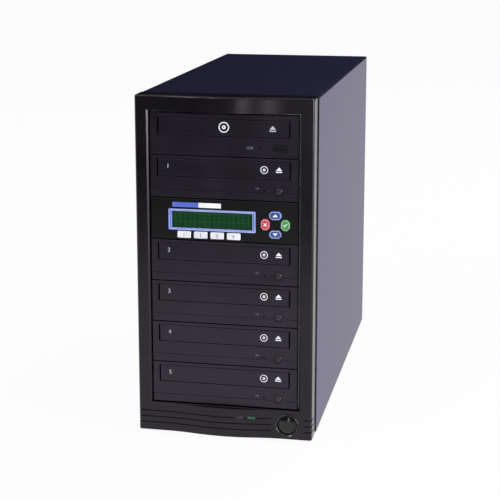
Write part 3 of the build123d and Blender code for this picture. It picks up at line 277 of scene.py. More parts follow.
def mottled(tree, shader, hex_low, hex_high, patch_mm, low=0.35, high=0.65):
    """Base colour that drifts between two tones in patches of a real size."""
    patches = add_node(tree, "ShaderNodeTexNoise", values={"Scale": cells_per_metre(patch_mm), "Detail": 4.0},
                       links={"Vector": place(tree)})
    ramp = add_node(tree, "ShaderNodeValToRGB", links={"Fac": patches.outputs["Fac"]})
    ramp.color_ramp.elements[0].position = low
    ramp.color_ramp.elements[0].color = linear(hex_low)
    ramp.color_ramp.elements[1].position = high
    ramp.color_ramp.elements[1].color = linear(hex_high)
    tree.links.new(ramp.outputs["Color"], shader.inputs["Base Color"])
    return patches


def varied_roughness(tree, shader, patches, low, high):
    """Roughness that follows the patches, as handling leaves it."""
    spread = add_node(tree, "ShaderNodeMapRange", values={"To Min": low, "To Max": high},
                      links={"Value": patches.outputs["Fac"]})
    tree.links.new(spread.outputs["Result"], shader.inputs["Roughness"])


def powder_coat():
    material, tree, shader = new_material("powder-coated steel", Metallic=0.6,
                                          **{"Specular Tint": linear("#E4DDF6")})
    patches = mottled(tree, shader, "#27273F", "#2F2E4A", 5)
    varied_roughness(tree, shader, patches, 0.28, 0.38)
    bumpy(tree, shader, 1.6, 0.07, 0.45)
    return material


POWDER_COAT = powder_coat()
print("powder coat ready")

# %% [markdown]
# ABS mouldings
#
# The front, the drive faces and the tray doors are injection-moulded ABS. The mould is spark
# eroded, so the plastic comes out with a fine matt grain of about half a millimetre. It is less
# shiny than the cover and a little browner. The buttons are the same plastic from a polished mould.


# %% ABS
def abs_plastic(name, hex_low, hex_high, roughness, grain_mm=1.0, grain_height=0.03, gloss=0.4, tint="#FFFFFF"):
    material, tree, shader = new_material(name, **{"IOR": 1.53, "Specular IOR Level": gloss, "Specular Tint": linear(tint)})
    patches = mottled(tree, shader, hex_low, hex_high, 35)
    varied_roughness(tree, shader, patches, roughness - 0.02, roughness + 0.03)
    bumpy(tree, shader, grain_mm, grain_height, 0.4)
    return material


FRONT_ABS = abs_plastic("grained ABS, front", "#0D0C0F", "#141117", 0.23, gloss=0.34, tint="#FBEEFC")
FACE_ABS = abs_plastic("grained ABS, drive faces", "#120F17", "#19151F", 0.3, tint="#FBEAFC")
DOOR_ABS = abs_plastic("grained ABS, tray doors", "#110F15", "#17131C", 0.28, tint="#FBEAFC")
PANEL_ABS = abs_plastic("grained ABS, control panel", "#07070A", "#0B0A0D", 0.28, gloss=0.3)
TRAY_ABS = abs_plastic("smooth ABS, trays", "#17181A", "#1E1F21", 0.36, grain_mm=1.5, grain_height=0.01)
CAP_ABS = abs_plastic("satin ABS, eject caps", "#1C1A20", "#242128", 0.3, grain_mm=4.0, grain_height=0.01)
POLISHED_ABS = abs_plastic("polished ABS, buttons", "#0C0C0E", "#111113", 0.16, grain_mm=8.0, grain_height=0.01)
FAN_NYLON = abs_plastic("glass-filled nylon, fans", "#101113", "#18191B", 0.5, grain_mm=0.9)
print("eight plastics ready")

# %% [markdown]
# Zinc-plated sheet, plated wire and screws
#
# The steel inside isn't painted: it is plated with zinc, which leaves a soft grey metal with
# faint patches. The fan guard is nickel-plated wire and the screws are bright zinc.


# %% Metals
def plated(name, hex_low, hex_high, roughness, patch_mm):
    material, tree, shader = new_material(name, Metallic=1.0)
    patches = mottled(tree, shader, hex_low, hex_high, patch_mm, 0.3, 0.7)
    varied_roughness(tree, shader, patches, roughness - 0.06, roughness + 0.08)
    bumpy(tree, shader, 0.8, 0.01, 0.2)
    return material


ZINC_SHEET = plated("zinc-plated steel sheet", "#A9ACAE", "#C0C3C4", 0.38, 14)
BRIGHT_ZINC = plated("bright zinc screws", "#B4B2AA", "#D2D0C8", 0.26, 3)
NICKEL_WIRE = plated("nickel-plated wire", "#C9C5BC", "#DEDAD2", 0.16, 6)
print("three metals ready")

# %% [markdown]
# Silicone keys, display and light pipes
#
# The keys are coloured silicone with a dry, satin feel. The display is a green reflective one
# behind a clear window, in a printed blue polyester frame. The lamps behind the small polycarbonate
# light pipes are off: the green pipe's faint glow is painted light.


# %% Panel materials
def silicone(name, hex_low, hex_high):
    material, tree, shader = new_material(name, IOR=1.41)
    patches = mottled(tree, shader, hex_low, hex_high, 6)
    varied_roughness(tree, shader, patches, 0.42, 0.5)
    bumpy(tree, shader, 0.4, 0.01, 0.25)
    return material


KEY_BLUE = silicone("blue silicone", "#2C4488", "#33509A")
KEY_RED = silicone("red silicone", "#C02C3C", "#CE3646")
KEY_GREEN = silicone("green silicone", "#35923C", "#40A246")
KEY_WHITE = silicone("white silicone", "#D4D6DA", "#E2E4E8")
LEGEND_WHITE = silicone("white screen print", "#E4E6EA", "#F0F2F4")
LEGEND_DARK = silicone("dark screen print", "#20242C", "#2A2E38")
OUTLINE_GREY = silicone("pale grey screen print", "#A4A8B8", "#B8BCCA")
OUTLINE_BLUE = silicone("pale blue screen print", "#A2ACD8", "#B6BEE2")


def polyester():
    material, tree, shader = new_material("blue printed polyester", IOR=1.6)
    patches = mottled(tree, shader, "#4A60C0", "#566CCA", 12)
    varied_roughness(tree, shader, patches, 0.28, 0.36)
    bumpy(tree, shader, 0.5, 0.005, 0.2)
    return material


def display():
    """Green liquid-crystal display: faint character cells, 4.9 mm by 8 mm, under a clear window."""
    material, tree, shader = new_material("liquid-crystal display", IOR=1.5, Roughness=0.12)
    spot = add_node(tree, "ShaderNodeSeparateXYZ", links={"Vector": place(tree)})
    upright = add_node(tree, "ShaderNodeCombineXYZ", links={"X": spot.outputs["X"], "Y": spot.outputs["Z"]})
    cells = add_node(tree, "ShaderNodeTexBrick", offset=0.0, squash=1.0,
                     values={"Color1": linear("#163C20"), "Color2": linear("#12361C"), "Mortar": linear("#1E4A2C"),
                             "Scale": cells_per_metre(8.0), "Mortar Size": 0.05, "Mortar Smooth": 0.3,
                             "Brick Width": 0.61, "Row Height": 1.0}, links={"Vector": upright.outputs["Vector"]})
    tree.links.new(cells.outputs["Color"], shader.inputs["Base Color"])
    bumpy(tree, shader, 20.0, 0.01, 0.1)
    return material


LCD_BLUE = polyester()
LCD_GREEN = display()


def light_pipe(name, hex_low, hex_high, glow):
    material, tree, shader = new_material(name, IOR=1.58, **{"Emission Strength": glow})
    mottled(tree, shader, hex_low, hex_high, 2)
    shader.inputs["Emission Color"].default_value = linear(hex_high)
    shader.inputs["Roughness"].default_value = 0.2
    return material


# The green pipe's emission is a painted glow: the lamp behind it is off.
GREEN_PIPE_PAINTED_GLOW = light_pipe("polycarbonate, green, painted glow", "#08442C", "#0C5C3C", 0.1)
LAMP_RED = light_pipe("polycarbonate, dark red", "#1E0E10", "#2C1416", 0.0)
LAMP_CLEAR = light_pipe("polycarbonate, unlit", "#3A3A3E", "#4A4A50", 0.0)
print("panel materials ready")

# %% [markdown]
# Rubber, cable sleeves and circuit boards
#
# The feet are moulded rubber. The cables are PVC sleeved. The circuit boards are green glass
# fibre with copper tracks under the lacquer, which show as slightly lighter lines.


# %% Other materials
def rubber():
    material, tree, shader = new_material("moulded rubber", IOR=1.52)
    patches = mottled(tree, shader, "#141414", "#1E1E1E", 5)
    varied_roughness(tree, shader, patches, 0.6, 0.75)
    bumpy(tree, shader, 0.6, 0.03, 0.4)
    return material


def circuit_board():
    material, tree, shader = new_material("glass-fibre circuit board", IOR=1.55, Roughness=0.35)
    tracks = add_node(tree, "ShaderNodeTexBrick", offset=0.5,
                      values={"Color1": linear("#1C6B45"), "Color2": linear("#155A38"), "Mortar": linear("#2E8A5C"),
                              "Scale": cells_per_metre(9), "Mortar Size": 0.05, "Brick Width": 1.2},
                      links={"Vector": place(tree)})
    tree.links.new(tracks.outputs["Color"], shader.inputs["Base Color"])
    bumpy(tree, shader, 1.0, 0.01, 0.2)
    return material


RUBBER = rubber()
BOARD = circuit_board()
CABLE_PVC = abs_plastic("PVC cable sleeve", "#5A1614", "#6E1E1A", 0.4, grain_mm=2.0, grain_height=0.01)
SPINDLE_GREY = abs_plastic("grey acetal, spindles", "#4A4C50", "#5A5C60", 0.4)
print("rubber, board and cable ready")

# %% [markdown]
# Dress the solid parts
#
# Each node of the frame gets the material of the real piece. The lists name the nodes by piece.

# %% Give every node its finish
DRIVES = ["reader"] + ["writer_%d" % n for n in range(1, 6)]
FINISHES = {
    "outer_cover": POWDER_COAT, "base_pan": ZINC_SHEET, "rear_panel": ZINC_SHEET, "drive_cage": ZINC_SHEET,
    "feet": RUBBER, "case_screws": BRIGHT_ZINC, "front_bezel": FRONT_ABS, "power_button": POLISHED_ABS,
    "front_switch_board": BOARD, "indicator_lights": LAMP_CLEAR, "panel_face": PANEL_ABS,
    "lcd_surround": LCD_BLUE, "lcd_window": LCD_GREEN, "controller_board": BOARD, "key_up": KEY_BLUE,
    "key_down": KEY_BLUE, "key_escape": KEY_RED, "key_enter": KEY_GREEN, "psu_housing": ZINC_SHEET,
    "psu_inlet": FAN_NYLON, "psu_rocker": POLISHED_ABS, "psu_fan_rotor": FAN_NYLON,
    "exhaust_fan_frame": FAN_NYLON, "exhaust_fan_rotor": FAN_NYLON, "fan_guard": NICKEL_WIRE,
    "internal_cables": CABLE_PVC,
}
for number in range(1, 5):
    FINISHES["key_function_%d" % number] = KEY_WHITE
for drive in DRIVES:
    FINISHES[drive + "_chassis"] = ZINC_SHEET
    FINISHES[drive + "_bezel"] = FACE_ABS
    FINISHES[drive + "_tray"] = DOOR_ABS
    FINISHES[drive + "_eject_button"] = PANEL_ABS
    FINISHES[drive + "_spindle"] = SPINDLE_GREY


def dress(piece, material):
    piece.data.materials.clear()
    piece.data.materials.append(material)


for name, node in nodes.items():
    for piece in [node] + list(node.children_recursive):
        if piece.type == "MESH":
            dress(piece, FINISHES[name])
print(len(FINISHES), "finishes for", len(nodes), "nodes")

# %% [markdown]
# Flat marks on the panel
#
# Arrows, numbers and outlines are printed on the keys with a silk screen: ink about a twentieth of
# a millimetre thick. A printed mark could be painted in the key's material, but the key is one solid
# with one finish, so each mark is a thin mesh of its own that lies on the key and moves with it. One
# function turns an outline, drawn as seen from the front, into such a mesh.


# %% Printed outlines
INK = 0.05


def make_piece(name, mesh_data, material, body):
    """An object from a bmesh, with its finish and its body."""
    mesh = bpy.data.meshes.new(name)
    bmesh.ops.recalc_face_normals(mesh_data, faces=mesh_data.faces)
    mesh_data.to_mesh(mesh)
    mesh_data.free()
    mesh.materials.append(material)
    piece = bpy.data.objects.new(name, mesh)
    bpy.context.collection.objects.link(piece)
    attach(piece, body)
    return piece


def add_loop(shape, points, y):
    """A closed loop of edges through points given as (x, z), in millimetres, at one depth."""
    corners = [shape.verts.new((x * MM, y * MM, z * MM)) for x, z in points]
    return [shape.edges.new((a, b)) for a, b in zip(corners, corners[1:] + corners[:1])]


def printed(shape, outlines, face_y, thickness=INK):
    """Fills each group of outlines (an edge and any holes) on a face that looks along -Y."""
    for group in outlines:
        edges = [edge for points in group for edge in add_loop(shape, points, face_y + 0.02)]
        filled = bmesh.ops.triangle_fill(shape, use_beauty=True, edges=edges)
        faces = [item for item in filled["geom"] if isinstance(item, bmesh.types.BMFace)]
        raised = bmesh.ops.extrude_face_region(shape, geom=faces)
        front = [item for item in raised["geom"] if isinstance(item, bmesh.types.BMVert)]
        bmesh.ops.translate(shape, verts=front, vec=(0, -(thickness + 0.02) * MM, 0))


def ring_points(x, z, radius, count=32):
    return [(x + radius * math.cos(2 * math.pi * i / count), z + radius * math.sin(2 * math.pi * i / count))
            for i in range(count)]


def cut_corners(x, z, width, height, cut):
    """A rectangle with its four corners cut off, like the keys."""
    a, b = width / 2, height / 2
    return [(x + a - cut, z + b), (x - a + cut, z + b), (x - a, z + b - cut), (x - a, z - b + cut),
            (x - a + cut, z - b), (x + a - cut, z - b), (x + a, z - b + cut), (x + a, z + b - cut)]


def block(x0, x1, z0, z1):
    return [(x0, z0), (x1, z0), (x1, z1), (x0, z1)]


print("ink", INK, "mm thick")

# %% [markdown]
# The key legends
#
# The two blue keys carry white arrows, the red key a cross for leaving and the green key a tick for
# going on. All four have a pale printed rim just inside their edge. The white keys are numbered.

# %% Legends of the four coloured keys
PANEL_FLOOR = 204.7
KEY_FACE = -214.2
KEYS = {"key_up": (51.2, 28.6, 12.6, 8.9), "key_down": (51.2, 9.9, 12.4, 8.5),
        "key_escape": (41.2, 19.3, 8.8, 11.2), "key_enter": (61.1, 19.3, 8.8, 11.2)}


def stroke(x0, z0, x1, z1, width):
    """A straight pen stroke as a four-cornered outline."""
    length = math.hypot(x1 - x0, z1 - z0)
    dx, dz = -(z1 - z0) / length * width / 2, (x1 - x0) / length * width / 2
    return [(x0 + dx, z0 + dz), (x1 + dx, z1 + dz), (x1 - dx, z1 - dz), (x0 - dx, z0 - dz)]


def key_symbol(name, x, z):
    if name == "key_up":
        return [[[(x - 2.6, z - 1.3), (x + 2.6, z - 1.3), (x, z + 1.7)]]]
    if name == "key_down":
        return [[[(x - 2.6, z + 1.3), (x + 2.6, z + 1.3), (x, z - 1.7)]]]
    if name == "key_escape":
        return [[stroke(x - 1.5, z - 1.5, x + 1.5, z + 1.5, 0.8)],
                [stroke(x - 1.5, z + 1.5, x - 0.35, z + 0.35, 0.8)],
                [stroke(x + 0.35, z - 0.35, x + 1.5, z - 1.5, 0.8)]]
    return [[[(x - 1.9, z + 0.1), (x - 0.5, z - 1.7), (x + 2.1, z + 1.5), (x + 1.5, z + 2.0), (x - 0.5, z - 0.5),
              (x - 1.3, z + 0.6)]]]


for name, (x, local_z, width, height) in KEYS.items():
    z = PANEL_FLOOR + local_z
    body = name + "_body"
    mark = bmesh.new()
    printed(mark, key_symbol(name, x, z), KEY_FACE)
    make_piece(name + "_symbol", mark, LEGEND_WHITE, body)
    rim = bmesh.new()
    printed(rim, [[cut_corners(x, z, width - 1.1, height - 1.1, 2.3), cut_corners(x, z, width - 2.3, height - 2.3, 1.9)]],
            KEY_FACE)
    make_piece(name + "_rim", rim, OUTLINE_GREY, body)
print(len(KEYS), "keys with symbols and rims")

# %% Numbers on the white keys
FUNCTION_X = (-40.2, -23.5, -6.9, 9.7)
FUNCTION_Z = PANEL_FLOOR + 5.9


def number_mesh(text, x, y, z, size_mm):
    """The built-in plain font as a thin mesh, standing upright and facing the front."""
    curve = bpy.data.curves.new("number", "FONT")
    curve.body = text
    curve.size = size_mm * MM
    curve.extrude = INK / 2 * MM
    curve.align_x, curve.align_y = "CENTER", "CENTER"
    holder = bpy.data.objects.new("number", curve)
    shape = bmesh.new()
    flat = bpy.data.meshes.new_from_object(holder)
    shape.from_mesh(flat)
    bpy.data.objects.remove(holder)
    bpy.data.meshes.remove(flat)
    bmesh.ops.rotate(shape, verts=shape.verts, matrix=Matrix.Rotation(math.pi / 2, 3, "X"))
    bmesh.ops.translate(shape, verts=shape.verts, vec=(x * MM, (y - INK / 2) * MM, z * MM))
    return shape


for number, x in enumerate(FUNCTION_X, start=1):
    digits = number_mesh(str(number), x, KEY_FACE, FUNCTION_Z, 4.2)
    make_piece("key_function_%d_number" % number, digits, LEGEND_DARK, "key_function_%d_body" % number)
print("numbers 1 to 4")

# %% [markdown]
# Plain marks on the machine
#
# The drives' faces carry printed marks where a plain one does the same job: disc symbols on the
# tray doors, an open-and-close arrow, a number for each writer, and a two-coloured strip over the
# display. Here they hold no words.

# %% Marks on the tray doors and the strip
DOOR_FACE = -213.0
BAY_FLOORS = {"reader": 289.3, "writer_1": 247.0, "writer_2": 162.4, "writer_3": 120.1, "writer_4": 77.8,
              "writer_5": 35.5}


def disc_symbol(x, z, size):
    """A rim and a hub, as a disc is drawn on players."""
    return [[ring_points(x, z, size * outer), ring_points(x, z, size * inner)]
            for outer, inner in ((1.0, 0.82), (0.36, 0.14))]


def arrow_symbol(x, z, size):
    """A triangle over a bar: open or close the tray."""
    return [[[(x - size, z - 0.1 * size), (x + size, z - 0.1 * size), (x, z + size)]],
            [block(x - size, x + size, z - 0.75 * size, z - 0.4 * size)]]


def mark_door(drive, name, outlines, material):
    mark = bmesh.new()
    printed(mark, outlines, DOOR_FACE, 0.03)
    make_piece(drive + name, mark, material, drive + "_tray_body")


for number, (drive, floor_z) in enumerate(BAY_FLOORS.items()):
    if drive == "reader":
        mark_door(drive, "_disc_symbol", disc_symbol(0.2, floor_z + 29.2, 5.2), LEGEND_WHITE)
        mark_door(drive, "_arrow_symbol", arrow_symbol(48.3, floor_z + 28.6, 3.2), OUTLINE_GREY)
        continue
    mark_door(drive, "_disc_symbol", disc_symbol(40.0, floor_z + 31.0, 3.8), LEGEND_WHITE)
    mark_door(drive, "_arrow_symbol", arrow_symbol(54.6, floor_z + 31.0, 3.0), LEGEND_WHITE)
    digits = number_mesh(str(number), -56.0, DOOR_FACE, floor_z + 31.6, 6.0)
    make_piece(drive + "_number", digits, OUTLINE_GREY, drive + "_tray_body")

strip_blue = bmesh.new()
printed(strip_blue, [[block(-52.0, -25.5, PANEL_FLOOR + 33.4, PANEL_FLOOR + 38.2)]], DOOR_FACE, 0.03)
make_piece("panel_strip_blue", strip_blue, LCD_BLUE, "case")
strip_white = bmesh.new()
printed(strip_white, [[block(-25.5, -3.0, PANEL_FLOOR + 33.4, PANEL_FLOOR + 38.2)]], DOOR_FACE, 0.03)
make_piece("panel_strip_white", strip_white, LEGEND_WHITE, "case")
print("six marked doors and a strip")

# %% Outline of the display
FRAME_MIDDLE = (-12.2, 225.6)
FRAME_FACE = -213.1


def round_corners(x, z, width, height, radius, count=8):
    """A rectangle with rounded corners, as a closed list of points."""
    points = []
    for corner, (sx, sz) in enumerate(((1, 1), (-1, 1), (-1, -1), (1, -1))):
        for i in range(count + 1):
            angle = math.pi / 2 * (corner + i / count)
            points.append((x + sx * (width / 2 - radius) + radius * math.cos(angle),
                           z + sz * (height / 2 - radius) + radius * math.sin(angle)))
    return points


outline = bmesh.new()
printed(outline, [[round_corners(*FRAME_MIDDLE, 87.0, 20.8, 1.6), round_corners(*FRAME_MIDDLE, 85.4, 19.2, 1.2)],
                  [round_corners(*FRAME_MIDDLE, 82.6, 18.2, 0.6), round_corners(*FRAME_MIDDLE, 81.5, 17.1, 0.4)]],
        FRAME_FACE, 0.03)
make_piece("display_outline", outline, OUTLINE_BLUE, "case")
print("two pale lines round the display")

# %% [markdown]
# Eject buttons
#
# A writer's eject button is a small round cap in a shallow dish. It is domed, so that a fingertip
# finds it, and the dome catches a point of light. The cap is a turned profile: a few radii and
# depths, spun round the button's axis.


# %% Turned shapes
def turned(shape, profile, centre, count=48, closed=False):
    """A surface of revolution about a line along Y: the profile is (radius, y) in millimetres.

    A closed profile makes a ring, an open one a solid with flat ends."""
    cx, cz = centre
    rings = []
    for radius, y in profile:
        rings.append([shape.verts.new(((cx + radius * math.cos(2 * math.pi * i / count)) * MM, y * MM,
                                       (cz + radius * math.sin(2 * math.pi * i / count)) * MM)) for i in range(count)])
    for low, high in zip(rings, rings[1:] + rings[:1] if closed else rings[1:]):
        for i in range(count):
            j = (i + 1) % count
            shape.faces.new((low[i], low[j], high[j], high[i]))
    if not closed:
        shape.faces.new(rings[0])
        shape.faces.new(rings[-1])


def smooth(piece):
    for polygon in piece.data.polygons:
        polygon.use_smooth = True


CAP_PROFILE = [(0.3, -213.95), (1.2, -213.88), (2.1, -213.7), (2.8, -213.4), (3.2, -213.0), (3.35, -212.6),
               (3.35, -210.55), (4.5, -210.55), (4.5, -209.6)]
for drive, floor_z in BAY_FLOORS.items():
    if drive == "reader":
        continue
    cap = bmesh.new()
    turned(cap, CAP_PROFILE, (54.6, floor_z + 10.2))
    knob = make_piece(drive + "_eject_cap", cap, CAP_ABS, drive + "_eject")
    smooth(knob)
    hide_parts(drive + "_eject_button")
print("five turned caps")

# %% [markdown]
# Indicator lamps
#
# A light pipe is a bar of clear plastic that carries the light of a small lamp from the board to the
# front. The frame has all the pipes as one node, so the coloured fronts are pieces of their own.
# The two in the chin bend with its bow, which is two arcs of one radius that meet smoothly.

# %% Coloured fronts of the light pipes
BOW, BOW_REACH = 5.0, 62.0
BOW_RADIUS = (BOW_REACH ** 2 + BOW ** 2) / (4 * BOW)


def chin_front(x):
    """Depth of the chin's bowed face, in millimetres."""
    if abs(x) > BOW_REACH:
        return -215.0
    if abs(x) > BOW_REACH / 2:
        return -215.0 - (BOW_RADIUS - math.sqrt(BOW_RADIUS ** 2 - (BOW_REACH - abs(x)) ** 2))
    return -220.0 + BOW_RADIUS - math.sqrt(BOW_RADIUS ** 2 - x ** 2)


def pipe_front(name, x, z, width, height, front, material):
    """A slightly crowned lens, a grid of points over the end of its pipe."""
    lens = bmesh.new()
    columns, rows = 12, 6
    grid = []
    for i in range(columns + 1):
        u = i / columns - 0.5
        line = []
        for j in range(rows + 1):
            v = j / rows - 0.5
            crown = 0.18 * (1 - (2 * u) ** 4) * (1 - (2 * v) ** 4)
            line.append(lens.verts.new(((x + u * width) * MM, (front(x + u * width) + 0.35 - crown) * MM,
                                        (z + v * height) * MM)))
        grid.append(line)
    for a, b in zip(grid, grid[1:]):
        for j in range(rows):
            lens.faces.new((a[j], b[j], b[j + 1], a[j + 1]))
    smooth(make_piece(name, lens, material, "case"))


CHIN_LAMP_Z = 25.7
# The green chin lens carries the painted glow.
pipe_front("chin_lamp_green", 28.2, CHIN_LAMP_Z, 7.6, 2.3, chin_front, GREEN_PIPE_PAINTED_GLOW)
pipe_front("chin_lamp_red", 16.2, CHIN_LAMP_Z, 7.6, 2.3, chin_front, LAMP_RED)
for drive, floor_z in BAY_FLOORS.items():
    x, z, width, height = (25.7, 9.8, 6.7, 2.5) if drive == "reader" else (33.0, 12.6, 3.5, 1.7)
    pipe_front(drive + "_lamp", x, floor_z + z, width, height, lambda at: -213.2, LAMP_CLEAR)
print(2 + len(BAY_FLOORS), "lamp fronts")

# %% [markdown]
# The lip round the power button
#
# The round opening for the power button has a smooth raised lip that slopes in to the button, and
# catches the light as a bright crescent on its lower left. The frame has a plain cone there. The lip
# is a closed profile, laid over the cone and turned about the button's axis, clear of the button.

# %% Power button lip
LIP_PROFILE = [(12.3, -214.9), (12.25, -215.3), (12.05, -215.8), (11.8, -216.08), (11.5, -216.14), (11.25, -215.98),
               (10.9, -215.7), (10.5, -215.39), (10.1, -215.08), (9.85, -214.8), (9.75, -214.4), (10.1, -214.2),
               (12.0, -214.5)]
lip = bmesh.new()
turned(lip, LIP_PROFILE, (63.8, 19.1), 96, closed=True)
smooth(make_piece("power_button_lip", lip, POLISHED_ABS, "case"))
print("lip", 2 * LIP_PROFILE[0][0], "mm across")

# %% [markdown]
# Fan wheels
#
# A fan wheel is moulded in one piece: a cup over the motor with seven blades that twist from root to
# tip and sweep forward, so that they bite the air evenly and quietly. The frame's wheel has flat
# blades, which is enough for collisions. Here each blade is a grid of points that turns and sweeps
# with the radius, thickened by a modifier, and the cup is a turned profile with a rounded edge.

# %% Two fan wheels
BLADES = 7
HUB_RADIUS = 17.0
TIP_RADIUS = 36.8


def blade(shape, centre, middle_y, start_angle):
    """One blade: its pitch eases from 52 to 32 degrees and its middle sweeps 16 degrees forward."""
    cx, cz = centre
    rows, columns = 9, 7
    grid = []
    for row in range(rows):
        share = row / (rows - 1)
        radius = HUB_RADIUS - 1.0 + share * (TIP_RADIUS - HUB_RADIUS + 1.0)
        pitch = math.radians(52 - 20 * share)
        chord = 15.0 + 5.0 * share
        sweep = math.radians(16) * share ** 1.4
        line = []
        for column in range(columns):
            along = (column / (columns - 1) - 0.5) * chord
            camber = 1.4 * (1 - (2 * along / chord) ** 2)
            across = along * math.cos(pitch) - camber * math.sin(pitch)
            y = middle_y + along * math.sin(pitch) + camber * math.cos(pitch)
            angle = start_angle + sweep + across / radius
            line.append(shape.verts.new(((cx + radius * math.cos(angle)) * MM, y * MM,
                                         (cz + radius * math.sin(angle)) * MM)))
        grid.append(line)
    for a, b in zip(grid, grid[1:]):
        for i in range(columns - 1):
            shape.faces.new((a[i], a[i + 1], b[i + 1], b[i]))


def fan_wheel(name, centre, back, body):
    front = back - 25.0
    hub_front, hub_back = front + 6.6, back - 1.6
    cup = bmesh.new()
    turned(cup, [(HUB_RADIUS - 1.0, hub_front), (HUB_RADIUS, hub_front + 0.5), (HUB_RADIUS, hub_back - 2.2),
                 (HUB_RADIUS - 0.7, hub_back - 0.7), (HUB_RADIUS - 2.2, hub_back), (11.0, hub_back),
                 (10.6, hub_back - 0.4), (1.0, hub_back - 0.4)], centre)
    hub = make_piece(name + "_cup", cup, FAN_NYLON, body)
    vanes = bmesh.new()
    for number in range(BLADES):
        blade(vanes, centre, (hub_front + hub_back) / 2, 2 * math.pi * number / BLADES)
    leaves = make_piece(name + "_blades", vanes, FAN_NYLON, body)
    thick = leaves.modifiers.new("thickness", "SOLIDIFY")
    thick.thickness, thick.offset = 1.3 * MM, 0.0
    smooth(hub)
    smooth(leaves)
    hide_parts(name)
    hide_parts(name)


fan_wheel("exhaust_fan_rotor", (0.0, 150.0), 210.8, "exhaust_fan_body")
fan_wheel("psu_fan_rotor", (26.0, 302.5), 209.8, "psu_fan_body")
print("two wheels of", BLADES, "blades")

# %% [markdown]
# Screws
#
# Case screws are cold headed: a bar is struck into a domed head with a cross recess, and the
# thumb screws get a knurled rim to turn by hand. The recess is real here: the head's top is filled
# between the rim and a cross-shaped loop, and the loop runs down into the head, tapering.


# %% A screw along Y
def cross_points(half_length, half_width):
    a, b = half_length, half_width
    return [(a, b), (b, b), (b, a), (-b, a), (-b, b), (-a, b), (-a, -b), (-b, -b), (-b, -a), (b, -a), (b, -b), (a, -b)]


def screw(shape, x, z, base_y, head_radius, head_height, shank_radius, shank_length, knurled=False):
    """A screw whose head stands on base_y and looks along +Y."""
    count = 48

    def ring(radius, y, toothed=False):
        points = []
        for i in range(count):
            r = radius - (0.35 if toothed and i % 4 > 1 else 0.0)
            angle = 2 * math.pi * i / count
            points.append(shape.verts.new(((x + r * math.cos(angle)) * MM, y * MM, (z + r * math.sin(angle)) * MM)))
        return points

    top = base_y + head_height
    rings = [ring(shank_radius, base_y - shank_length), ring(shank_radius, base_y), ring(head_radius - 0.3, base_y)]
    if knurled:
        rings += [ring(head_radius, base_y + 0.8), ring(head_radius, base_y + 1.4, True),
                  ring(head_radius, top - 0.7, True), ring(head_radius - 0.8, top)]
    else:
        rings += [ring(head_radius, base_y + 0.3), ring(head_radius, base_y + 0.45 * head_height),
                  ring(head_radius * 0.9, base_y + 0.8 * head_height), ring(head_radius * 0.72, top)]
    for low, high in zip(rings, rings[1:]):
        for i in range(count):
            j = (i + 1) % count
            shape.faces.new((low[i], low[j], high[j], high[i]))
    shape.faces.new(rings[0])
    rim = [shape.edges.get((a, b)) for a, b in zip(rings[-1], rings[-1][1:] + rings[-1][:1])]
    reach = 0.62 * head_radius * (0.6 if knurled else 1.0)
    mouth = [shape.verts.new(((x + a) * MM, top * MM, (z + b) * MM)) for a, b in cross_points(reach, 0.2 * head_radius)]
    floor_loop = [shape.verts.new(((x + a) * MM, (top - 0.7 * min(head_height, 2.0)) * MM, (z + b) * MM))
                  for a, b in cross_points(0.55 * reach, 0.1 * head_radius)]
    loop = [shape.edges.new((a, b)) for a, b in zip(mouth, mouth[1:] + mouth[:1])]
    bmesh.ops.triangle_fill(shape, use_beauty=True, edges=rim + loop)
    for i in range(12):
        j = (i + 1) % 12
        shape.faces.new((mouth[i], mouth[j], floor_loop[j], floor_loop[i]))
    shape.faces.new(floor_loop)


print("a screw has a rim, a cross and a shank")

# %% The screws of the back
THUMB_Z = (24.0, 176.0, 328.0)
rear_screws = bmesh.new()
for side in (-1, 1):
    for z in THUMB_Z:
        screw(rear_screws, side * 84.0, z, 213.0, 5.0, 6.9, 1.4, 4.0, knurled=True)
    for z in (302.5 - 37.0, 302.5 + 37.0):
        screw(rear_screws, side * 69.0, z, 212.0, 3.0, 1.8, 1.4, 2.0)
    for z in (150.0 - 35.75, 150.0 + 35.75):
        screw(rear_screws, side * 35.75, z, 215.2, 3.0, 1.8, 1.4, 8.0)
rear_heads = make_piece("rear_screws", rear_screws, BRIGHT_ZINC, "case")
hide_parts("case_screws")
print(len(rear_heads.data.polygons), "faces on the back's screws")

# %% The drives' side screws
side_screws = bmesh.new()
for floor_z in BAY_FLOORS.values():
    for y in (-160.0, -81.0):
        for side in (-1, 1):
            one = bmesh.new()
            screw(one, 0.0, 0.0, 0.0, 3.0, 1.8, 1.4, 1.4)
            turn = Matrix.Rotation(-side * math.pi / 2, 4, "Z")
            shift = Matrix.Translation((side * 74.4 * MM, y * MM, (floor_z + 13.15) * MM))
            one.transform(shift @ turn)
            joined = bpy.data.meshes.new("one")
            one.to_mesh(joined)
            one.free()
            side_screws.from_mesh(joined)
            bpy.data.meshes.remove(joined)
drive_heads = make_piece("drive_side_screws", side_screws, BRIGHT_ZINC, "case")
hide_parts("case_screws")
print(4 * len(BAY_FLOORS), "side screws")

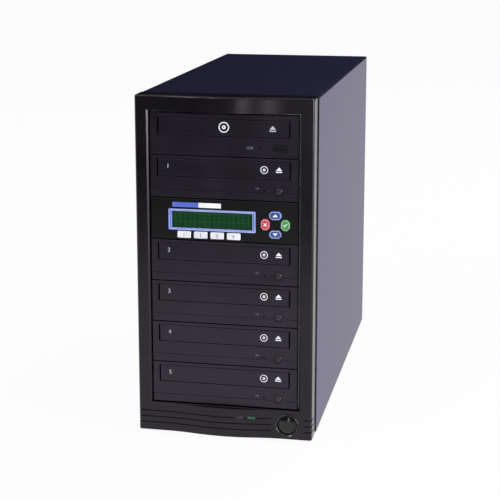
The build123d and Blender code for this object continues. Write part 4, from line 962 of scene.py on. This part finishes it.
# %% [markdown]
# Marks on the mains rocker, and the inlet's pins
#
# The rocker has a bar for on and a ring for off, printed white on the face that tips. The inlet's
# three pins are brass, which the frame's single finish for the inlet can't show, so a thin brass
# sleeve goes over each, lofted through rounded outlines that narrow to the tip.

# %% Rocker marks
ROCKER_PLACE = (-51.2, 206.8, 316.0)
ROCKER_TILT = math.radians(10)
ROCKER_FACE = 4.6
switch_marks = bmesh.new()
printed(switch_marks, [[block(-0.3, 0.3, 1.0, 3.4)], [ring_points(0.0, -2.1, 1.3), ring_points(0.0, -2.1, 0.85)]], 0.0)
switch_marks.transform(Matrix.Translation([v * MM for v in ROCKER_PLACE]) @ Matrix.Rotation(ROCKER_TILT, 4, "X")
                       @ Matrix.Translation((0, ROCKER_FACE * MM, 0)) @ Matrix.Rotation(math.pi, 4, "Z"))
make_piece("psu_rocker_marks", switch_marks, LEGEND_WHITE, "rocker_body")
print("bar and ring on the rocker")


# %% Brass pins
def brass():
    material, tree, shader = new_material("brass pins", Metallic=1.0)
    patches = mottled(tree, shader, "#B89A54", "#D2B468", 2)
    varied_roughness(tree, shader, patches, 0.2, 0.34)
    bumpy(tree, shader, 0.5, 0.005, 0.2)
    return material


def lofted(shape, sections):
    """A closed skin through outlines of equal length, given as (points, y)."""
    rings = [[shape.verts.new((x * MM, y * MM, z * MM)) for x, z in points] for points, y in sections]
    for low, high in zip(rings, rings[1:]):
        for i in range(len(low)):
            j = (i + 1) % len(low)
            shape.faces.new((low[i], low[j], high[j], high[i]))
    shape.faces.new(rings[0])
    shape.faces.new(rings[-1])


BRASS = brass()
INLET_MIDDLE = (-51.2, 287.75)
PIN_PLACES = ((-7.0, -1.5), (7.0, -1.5), (0.0, 2.5))
pins = bmesh.new()
for dx, dz in PIN_PLACES:
    x, z = INLET_MIDDLE[0] + dx, INLET_MIDDLE[1] + dz
    lofted(pins, [(round_corners(x, z, 2.16, 4.16, 0.4), 197.8), (round_corners(x, z, 2.16, 4.16, 0.4), 205.3),
                  (round_corners(x, z, 1.7, 3.7, 0.4), 206.0), (round_corners(x, z, 1.1, 3.1, 0.3), 206.4)])
make_piece("inlet_pin_sleeves", pins, BRASS, "case")
print(len(PIN_PLACES), "brass pins")
